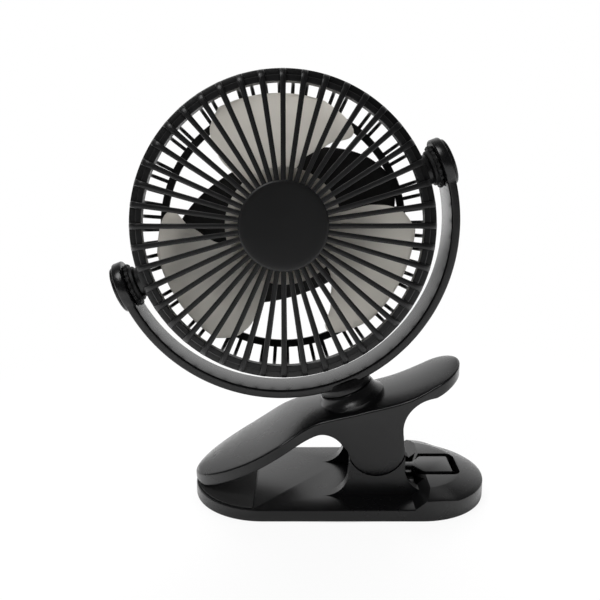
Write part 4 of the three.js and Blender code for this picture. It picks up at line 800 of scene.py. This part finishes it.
guard_black = moulded_plastic("guard_black_plastic", (0.0024, 0.0024, 0.0026), 0.38)
drum_front, drum_rear, drum_wall = 13.0, -3.0, 2.2
lip_inner, pad_radius = head_radius - 3.4, 9.3
drum_bore = head_radius - drum_wall
drum_profile = [[lip_inner, drum_front - 0.3], [lip_inner + 0.3, drum_front],
                [head_radius - 0.6, drum_front], [head_radius - 0.15, drum_front - 0.2],
                [head_radius, drum_front - 0.6], [head_radius, drum_rear + 0.3],
                [head_radius - 0.3, drum_rear], [drum_bore + 0.3, drum_rear], [drum_bore, drum_rear + 0.3],
                [drum_bore, drum_front - 2.6], [lip_inner, drum_front - 2.0]]
drum = turned("drum", drum_profile, head_place, guard_black, steps=256)
pad_ring = [[drum_bore, -pad_radius], [head_radius, -pad_radius], [head_radius, 0.0], [drum_bore, 0.0]]
pad_end = [[0, drum_bore - 3], [pad_radius, drum_bore - 3], [pad_radius, head_radius + 1],
           [0, head_radius + 1]]
boss_end = disc_outer - disc_depth - gap
boss = [[screw_bore, 69.3], [screw_bore, boss_end], [6.9, boss_end], [7.2, boss_end - 0.2],
        [7.3, boss_end - 0.5], [7.3, 70.6], [7.5, 70.0], [8.0, 69.6], [8.0, 68.3], [screw_bore, 68.3]]
for side in (-1, 1):
    pad = turned("pad", pad_ring, head_place, steps=256)
    merge(pad, turned("pad_end", pad_end, along_pivot(side, head_place)), "INTERSECT")
    merge(drum, pad, "UNION")
    merge(drum, turned("boss", boss, along_pivot(side, head_place)), "UNION")
drum.data.set_sharp_from_angle(angle=np.radians(38))
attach(drum, "head")
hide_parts("drum_shell")

rib_count, rib_phase = 44, 3.35
guard_front, shoulder = 20.0, 5.0


def joined_parts(name, parts, material, smooth_below=35.0):
    """One head piece from several closed shells, each a pair of points and faces."""
    points, faces, start = [], [], 0
    for part_points, part_faces in parts:
        points.append(part_points)
        faces += [[k + start for k in face] for face in part_faces]
        start += len(part_points)
    return make_piece(name, placed(np.concatenate(points), head_place), faces, material, smooth_below)


def closed_turn(profile, steps):
    """Points and faces of a profile turned round Z; points on the axis are shared."""
    points, index, start = [], [], 0
    for radius, height in profile:
        if radius == 0:
            points.append([[0, 0, height]])
            index.append([start] * steps)
        else:
            points.append(at_height(circle(radius, steps=steps), height))
            index.append(list(range(start, start + steps)))
        start += len(points[-1])
    faces = []
    for a, b in zip(index, index[1:] + index[:1]):
        for k in range(steps):
            n = (k + 1) % steps
            face = list(dict.fromkeys([a[k], a[n], b[n], b[k]]))
            if len(face) > 2:
                faces.append(face)
    return np.concatenate(points), faces


def spun(part, angle):
    """Points and faces turned round Z."""
    points, faces = part
    c, s = np.cos(angle), np.sin(angle)
    return points @ np.array([[c, s, 0], [-s, c, 0], [0, 0, 1]]), faces


def guard_rib():
    """One rib at angle zero: a soft-edged bar along the front, round the shoulder and down the side."""
    depth, rim = 3.0, head_radius - 0.6
    bend_r, bend_z = rim - shoulder, guard_front - shoulder
    line = [(r, guard_front, 0.0, width) for r, width in
            ((19.6, 2.3), (24.0, 2.3), (34.0, 2.3), (46.0, 2.32), (56.0, 2.4), (61.0, 2.55), (bend_r, 2.7))]
    for share in np.arange(1, 7) / 6:
        a = share * np.pi / 2
        line.append((bend_r + shoulder * np.sin(a), bend_z + shoulder * np.cos(a), a, 2.7 + 0.3 * share))
    line.append((rim, drum_front + gap, np.pi / 2, 3.0))
    rings = []
    for r, z, a, width in line:
        section = rounded_box_outline(width / 2, depth / 2, 0.55, steps=3)
        below = section[:, 1] - depth / 2
        rings.append(np.column_stack([r + below * np.sin(a), section[:, 0], z + below * np.cos(a)]))
    return closed_loft(rings)


disc_profile = [[0, 17.0], [20.1, 17.0], [20.4, 17.3], [20.4, 20.1], [20.2, 20.45], [19.8, 20.65],
                [19.2, 20.75], [17.0, 20.8], [0, 20.8]]
hoop_in, hoop_out, hoop_top = lip_inner - 3.0, lip_inner - 0.3, guard_front - 2.5
hoop_profile = [[hoop_in, hoop_top - 5.0], [hoop_out, hoop_top - 5.0], [hoop_out, hoop_top - 0.3],
                [hoop_out - 0.3, hoop_top], [hoop_in + 0.3, hoop_top], [hoop_in, hoop_top - 0.3]]
rib = guard_rib()
guard_parts = [spun(rib, np.radians(rib_phase + 360 * k / rib_count)) for k in range(rib_count)]
guard_parts += [closed_turn(disc_profile, 176), closed_turn(hoop_profile, 256)]
front_guard = joined_parts("front_guard", guard_parts, guard_black)
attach(front_guard, "head")
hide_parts("front_grille")


# ---- rear guard ----
# A spoked cage behind the drum: a rim, close ribs that bend round the corner, a ring that shows as a
# dark band through the front, wider ribs inside it and an oval seat for the pod.

rear_low, rear_high, cage_corner = -20.0, -18.0, 8.0
rim_low, rim_high = drum_rear - 2.3, drum_rear - 0.3


def spoke(start, end, width):
    """A straight bar along X as deep as the cage's back, with soft long edges."""
    section = rounded_box_outline(width / 2, (rear_high - rear_low) / 2, 0.4, steps=2)
    middle = (rear_low + rear_high) / 2
    return closed_loft([np.column_stack([np.full(len(section), x), section[:, 0], middle + section[:, 1]])
                        for x in (start, end)])


def soft_ring(inner, outer, low, high, soft=0.35):
    """A flat ring with chamfered edges."""
    lower = [[inner, low + soft], [inner + soft, low], [outer - soft, low], [outer, low + soft]]
    upper = [[outer, high - soft], [outer - soft, high], [inner + soft, high], [inner, high - soft]]
    return closed_turn(lower + upper, 192)


def oval_frame(inner, outer, low, high, steps=160):
    """An elliptic frame between two ellipses, each given by its half axes."""
    rings = [at_height(circle(1.0, steps=steps) * half_axes, height)
             for half_axes, height in ((inner, low), (outer, low), (outer, high), (inner, high))]
    return np.concatenate(rings), grid_faces(4, steps, tube=True)


ring_in, ring_out = 59.0 - 1.85, 59.0 + 1.85
pod_seat = ((53.8, 30.8), (57.8, 34.8))
outer_ribs, inner_ribs = 64, 44


def cage_rib():
    """One outer rib at angle zero: out from the ring, round the corner and forward to the rim."""
    width, depth = 1.8, rear_high - rear_low
    bend_r, bend_z = head_radius - cage_corner, rear_low + cage_corner
    line = [(ring_out - 0.8, rear_low, 0.0)]
    line += [(bend_r + cage_corner * np.sin(a), bend_z - cage_corner * np.cos(a), a)
             for a in np.radians(np.linspace(0, 90, 7))]
    line.append((head_radius, (rim_low + rim_high) / 2, np.pi / 2))
    section = rounded_box_outline(width / 2, depth / 2, 0.4, steps=2)
    above = section[:, 1] + depth / 2
    return closed_loft([np.column_stack([r - above * np.sin(a), section[:, 0], z + above * np.cos(a)])
                        for r, z, a in line])


outer_rib = cage_rib()
web_parts = [soft_ring(drum_bore, head_radius, rim_low, rim_high),
             soft_ring(ring_in, ring_out, rear_low, rear_high), oval_frame(*pod_seat, rear_low, rear_high)]
web_parts += [spun(outer_rib, 2 * np.pi * (k + 0.5) / outer_ribs) for k in range(outer_ribs)]
for k in range(inner_ribs):
    angle = 2 * np.pi * (k + 0.5) / inner_ribs
    seat_radius = 1 / np.hypot(np.cos(angle) / 55.0, np.sin(angle) / 32.0)
    if seat_radius < ring_in - 1:
        web_parts.append(spun(spoke(seat_radius, ring_in + 0.8, 1.8), angle))
rear_guard = joined_parts("rear_guard", web_parts, guard_black)
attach(rear_guard, "head")
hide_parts("rear_grille")


# ---- impeller ----
# One light warm grey moulding: a plain hub cup and three broad swept blades. Each blade is a twisted
# sheet between two edge curves, thin at its rims, its front edge nearer the viewer.


def milky_plastic(name, colour, glow_colour, share, roughness):
    """Thin milky plastic: satin on its face, and part of the light behind it comes through."""
    material = moulded_plastic(name, colour, roughness, grain=0.00001, mottle=0.03)
    nodes, links = material.node_tree.nodes, material.node_tree.links
    through = add_node(nodes, "BsdfTranslucent", Color=(*glow_colour, 1.0))
    mix = add_node(nodes, "MixShader")
    mix.inputs[0].default_value = share
    wire(links, (nodes["Principled BSDF"].outputs[0], mix.inputs[1]), (through.outputs[0], mix.inputs[2]),
         (mix.outputs[0], nodes["Material Output"].inputs[0]))
    return material


blade_grey = milky_plastic("blade_plastic", (0.60, 0.585, 0.55), (0.92, 0.90, 0.86), 0.6, 0.33)
blade_count, blade_phase = 3, 70.2
blade_tip, hub_radius, hub_overlap = 61.6, 26.8, 1.0


def blade_edge(radii, angles, radius):
    """An edge's angle in degrees at a radius: straight runs between points, averaged by a bell curve."""
    reach = np.linspace(-2.4, 2.4, 13)
    weight = np.exp(-0.5 * (reach / 1.2) ** 2)
    values = np.interp(radius[:, None] + reach[None, :], radii, angles)
    return values @ weight / weight.sum()


def blade_skin():
    """Rings from the hub to the tip: over the front face and back along the rear face.

    The sheet rises evenly from its rear edge to its front edge and sags between them.
    """
    half_thickness, pitch_rise, sag = 0.8, 15.0, 1.3
    t = np.concatenate([np.linspace(0, 0.8, 30), np.linspace(0.82, 1.0, 20)])
    root = hub_radius - hub_overlap
    radius = root + (blade_tip - root) * t
    front = blade_edge([20, 33, 40.3, 49.4, 55.5, 60.3, 61.6], [42, 42.3, 42.5, 39.7, 36, 29.5, 26], radius)
    rear = blade_edge([20, 27, 33.2, 41.3, 46.1, 48.5, 52.7, 56.3, 58.7, 60.4, 61.6],
                      [-13, -13.5, -18, -28.7, -31.8, -35.6, -39.3, -38.7, -34, -25, -17], radius)
    thick = half_thickness * np.clip((blade_tip - radius) / 1.2, 0.05, 1.0) ** 0.5
    share = (1 - np.cos(np.linspace(0, np.pi, 41))) / 2
    angle = rear[:, None] + (front - rear)[:, None] * share[None, :]
    flat = 1 - np.abs(2 * share - 1) ** 10
    half = thick[:, None] * (0.35 + 0.65 * np.sqrt(flat))[None, :]
    rise = pitch_rise * ((angle + 39.0) / 82.0 - 0.5) - sag * np.sin(np.pi * share)[None, :]
    x = radius[:, None] * np.cos(np.radians(angle))
    y = radius[:, None] * np.sin(np.radians(angle))
    face = np.stack([x, y, rise + half], axis=2)
    back = np.stack([x, y, rise - half], axis=2)[:, ::-1]
    return closed_loft(np.concatenate([face, back], axis=1))


hub_profile = [[0, 12.5], [25.0, 12.5], [25.9, 12.3], [26.5, 11.8], [hub_radius, 11.0], [hub_radius, -8.8],
               [26.6, -9.0], [25.2, -9.0], [25.2, 10.9], [4.0, 10.9], [4.0, -8.0], [1.5, -8.0], [1.5, 9.3],
               [0, 9.3]]
blade = blade_skin()
wheel_parts = [closed_turn(hub_profile, 192)]
wheel_parts += [spun(blade, np.radians(blade_phase + 360 * k / blade_count)) for k in range(blade_count)]
wheel = joined_parts("fan_wheel", wheel_parts, blade_grey, smooth_below=50.0)
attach(wheel, "impeller")
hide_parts("impeller")


# ---- pod behind the blades ----
# The motor, battery and board sit in an oblong pod. Its rear cover is a shallow satin tray with a
# round push button, four small light windows, four screws and a charging socket in its lower wall.

pod_half = np.array([113.6, 67.6]) / 2
pod_back, pod_front = -33.0, -20.3
pod_screws = [(-37.8, -18), (-37.8, 18), (37.8, -18), (37.8, 18)]
button_x, button_radius = 32.0, 5.5


def pod_ring(inset, height):
    """An ellipse round the pod, drawn in by an inset, at a height."""
    return at_height(circle(1.0, steps=200) * (pod_half - inset), height)


def peg(radius, low, high, x=0.0, y=0.0, steps=48):
    """A round bar along the head's Z, to cut with or to join."""
    outline = circle(radius, x, y, steps)
    return skin("peg", placed([at_height(outline, z) for z in (low, high)], head_place))


def rear_cover():
    """The tray, from its back round the soft edge to the rim and down inside, then cut for its fittings."""
    corner, wall, below = 4.0, 1.8, pod_back - 1
    post, bore, recess = 3.0, 1.5, 2.7
    window, window_step, window_x = 1.2, 3.0, button_x - 12.1
    rings = [pod_ring(5.0, pod_back), pod_ring(corner, pod_back)]
    for a in np.radians([15, 30, 45, 60, 75, 90]):
        rings.append(pod_ring(corner - corner * np.sin(a), pod_back + corner - corner * np.cos(a)))
    rings += [pod_ring(0.0, pod_front - 0.3), pod_ring(0.3, pod_front), pod_ring(wall, pod_front),
              pod_ring(wall, pod_back + 5.0), pod_ring(2.8, pod_back + 2.6), pod_ring(4.6, pod_back + wall)]
    cover = skin("rear_cover_tray", placed(rings, head_place))
    for x, y in pod_screws[::-1]:
        merge(cover, peg(post, pod_back + 0.9, pod_front, x, y), "UNION")
        merge(cover, peg(bore, below, pod_front + 1, x, y), "DIFFERENCE")
        merge(cover, peg(recess, below, pod_back + 1.6, x, y), "DIFFERENCE")
    for k in range(4):
        merge(cover, peg(window, below, pod_back + 3, window_x, window_step * (k - 1.5)), "DIFFERENCE")
    merge(cover, peg(button_radius + gap, below, pod_back + 3, button_x, 0, 96), "DIFFERENCE")
    socket_y = -pod_half[1] * np.sqrt(1 - (button_x / pod_half[0]) ** 2)
    mouth = rounded_box_outline(4.8, 2.0, 1.2) + [button_x, -25.8]
    rings = [at_height(mouth, y)[:, [0, 2, 1]] for y in (socket_y - 6, socket_y + 8)]
    merge(cover, skin("mouth", placed(rings, head_place)), "DIFFERENCE")
    return soften(cover, 0.2, 2)


cover = rear_cover()
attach(cover, "head")
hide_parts("rear_cover")

button_profile = [[0, -34.25], [3.6, -34.3], [4.7, -34.4], [5.2, -34.15], [5.45, -33.7],
                  [button_radius, -33.2], [button_radius, -30.9], [6.7, -30.9], [6.7, -29.9], [0, -29.9]]
button_points, button_faces = closed_turn(button_profile, 96)
button = joined_parts("push_button", [(button_points + [button_x, 0, 0], button_faces)], satin_black)
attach(button, "power_button")
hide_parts("power_button")


def plated_steel(name, colour, roughness):
    """Plated steel: metal with a fine even grain in its colour, roughness and bump."""
    material, nodes, links, shader = new_material(name)
    shader.inputs["Metallic"].default_value = 1.0
    grain = texture(nodes, links, "TexNoise", Scale=900.0, Detail=4.0).outputs["Fac"]
    dark = [c * 0.85 for c in colour]
    light = [min(1, c * 1.12) for c in colour]
    vary(nodes, links, shader, grain, (dark, light), (roughness * 0.8, roughness * 1.25))
    emboss(nodes, links, shader, grain, 0.00001)
    return material


zinc = plated_steel("zinc_plated_steel", (0.39, 0.41, 0.43), 0.3)


def pan_head_screw(name, x, y):
    """A pan-head screw along the head's Z, its head sunk in the pod's back, with a cross recess."""
    pan, shank, step = 2.4, 1.2, 0.2
    low, seat, tip = pod_back + 0.3, pod_back + 1.3, -14.1
    profile = [[0, low], [pan - 0.5, low], [pan - 0.1, low + step], [pan, low + 2 * step], [pan, seat],
               [shank, seat], [shank, tip], [0, tip]]
    place = (head_turn, head_centre + head_turn @ np.array([x, y, 0.0]))
    piece = turned(name, profile, place, zinc, steps=48)
    long, short = pan * 0.55, pan * 0.14
    quarter = np.array([[short, short], [short, long], [-short, long]])
    outline = np.concatenate([quarter @ turn.T for turn in
                              (turn_about("Z", k * np.pi / 2)[:2, :2] for k in range(4))])
    rings = [at_height(outline * size, height)
             for size, height in ((1.0, low - step), (0.6, low + 4 * step))]
    merge(piece, skin("cross", placed(rings, place), zinc), "DIFFERENCE")
    return piece


for k, (x, y) in enumerate(pod_screws, 1):
    pod_screw = pan_head_screw(f"pod_screw_{k}", x, y)
    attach(pod_screw, "head")
    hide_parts(f"housing_screw_{k}")


# ---- hanging hook ----
# A flat T-shaped tab that lies flush in the raised end and folds out below the base on a pin; its
# neck thickens into a round barrel on the pin. Satin black, moulded in one.


def rounded_outline(points, radius, steps=5):
    """A polygon with its corners replaced by short arcs, tangent to both sides."""
    points = np.asarray(points, float)
    out = []
    for k, corner in enumerate(points):
        before = points[k - 1] - corner
        after = points[(k + 1) % len(points)] - corner
        reach = min(radius, np.linalg.norm(before) * 0.45, np.linalg.norm(after) * 0.45)
        a = corner + before / np.linalg.norm(before) * reach
        b = corner + after / np.linalg.norm(after) * reach
        for t in np.linspace(0, 1, steps):
            out.append((1 - t) ** 2 * a + 2 * t * (1 - t) * corner + t ** 2 * b)
    return np.array(out)


def soft_plate(name, outline, low, high, soft):
    """A flat plate whose upper and lower rims are drawn in by a small chamfer arc."""
    ahead = np.roll(outline, -1, axis=0) - np.roll(outline, 1, axis=0)
    normal = unit(np.column_stack([ahead[:, 1], -ahead[:, 0]]))
    normal *= np.sign(np.einsum("ij,ij->i", normal, outline - outline.mean(axis=0)).sum())
    rings = [at_height(outline - inset * normal, height) for inset, height in
             ((soft, low), (soft * 0.3, low + soft * 0.3), (0, low + soft), (0, high - soft),
              (soft * 0.3, high - soft * 0.3), (soft, high))]
    return skin(name, rings)


neck_half, hook_half, hook_shoulder, hook_thickness = 2.4, 8.85, 4.4, 2.5
pin_bore, barrel_half = 1.1, 4.0
hook_pivot = np.array([hook_pivot_x, 0.0, hump_top - 3.0])
tab_outline = mirrored([[0, -neck_half], [hook_neck, -neck_half], [hook_neck + hook_shoulder, -hook_half],
                        [hook_length, -hook_half]])
tab = soft_plate("hook_tab", rounded_outline(tab_outline, 1.2) + [hook_pivot_x, 0],
                 hump_top - hook_thickness, hump_top, 0.4)
barrel = [[pin_bore, -barrel_half], [1.6, -barrel_half], [1.9, 0.3 - barrel_half], [1.9, barrel_half - 0.3],
          [1.6, barrel_half], [pin_bore, barrel_half]]
pin_hole = [[0, -barrel_half - 1], [pin_bore, -barrel_half - 1], [pin_bore, barrel_half + 1],
            [0, barrel_half + 1]]
across = (turn_about("X", -np.pi / 2), hook_pivot)
merge(tab, turned("barrel", barrel, across, steps=48), "UNION")
merge(tab, turned("pin_hole", pin_hole, across, steps=32), "DIFFERENCE")
tab.data.set_sharp_from_angle(angle=np.radians(30))
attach(tab, "hook")
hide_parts("hanging_hook")


# ---- rubber parts, spring, pins and what sits inside ----
# The grip pad is let into the deck and the sole closes the underside. Both are matt black rubber
# with a fine even texture. The rest keeps its solid and gets its real finish.


def rubber(name):
    """Matt black rubber: dull, with a fine even stipple."""
    material, nodes, links, shader = new_material(name)
    stipple = texture(nodes, links, "TexVoronoi", Scale=1400.0)
    drift = texture(nodes, links, "TexNoise", Scale=60.0)
    emboss(nodes, links, shader, stipple.outputs["Distance"], 0.00004)
    vary(nodes, links, shader, drift.outputs["Fac"], ((0.007,) * 3, (0.012,) * 3), (0.6, 0.75))
    return material


black_rubber = rubber("black_rubber")


def grip_pad():
    """The jaw end of the oval, cut off straight, standing half a millimetre above the deck."""
    margin, low, high = 1.2, deck - 0.2, deck + 0.5
    pad = prism("grip_pad", base_oval(margin), low, high, black_rubber)
    merge(pad, prism("window", jaw_end_outline(pad_length), low - 0.3, high + 1), "INTERSECT")
    return soften(pad, 0.25, 2)


pad = grip_pad()
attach(pad, "base")
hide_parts("base_grip_pad")


def under_sheet(name, material, margin, low, high, hole):
    """A flat oval sheet with a rectangular opening below the hook and four screw holes."""
    sheet = prism(name, base_oval(margin), low, high, material)
    opening = mirrored([[well_start, 15.0], [well_end, 15.0]])
    for outline in [opening] + [circle(hole, x, y, 48) for x, y in screw_places]:
        merge(sheet, prism("opening", outline, low - 1, high + 1), "DIFFERENCE")
    return soften(sheet, 0.2, 2)


sole = under_sheet("rubber_sole", black_rubber, margin=2.6, low=0.0, high=1.0, hole=2.72)
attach(sole, "base")
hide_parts("base_sole")
plate = under_sheet("under_plate", matt_black, margin=2.3, low=1.3, high=2.9, hole=1.4)
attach(plate, "base")
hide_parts("bottom_plate")


def dress(material, *names):
    """Gives CAD nodes their finish."""
    for name in names:
        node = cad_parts[name]
        node.data.materials.clear()
        node.data.materials.append(material)


def even_coat(name, colour, roughness, scale, spread):
    """A lacquered, wrapped or clear surface with a soft variation of tone."""
    return moulded_plastic(name, colour, roughness, grain=0.00001, grain_scale=scale, mottle=spread)


dress(matt_black, "motor_housing")
dress(black_rubber, "jaw_pad")
dress(zinc, "hinge_pin", "hook_pin", "swivel_washer", "swivel_screw", "pivot_screw_left",
      "pivot_screw_right", "motor", "motor_shaft", "power_socket",
      *[f"base_screw_{k}" for k in range(1, 5)])
dress(plated_steel("spring_steel", (0.27, 0.28, 0.29), 0.35), "torsion_spring")
dress(even_coat("board_lacquer", (0.014, 0.075, 0.033), 0.4, 700.0, 0.2), "circuit_board")
dress(even_coat("battery_wrap", (0.026, 0.069, 0.195), 0.35, 300.0, 0.1), "battery_pack")
dress(even_coat("window_plastic", (0.8, 0.8, 0.8), 0.2, 900.0, 0.05), "light_guide")
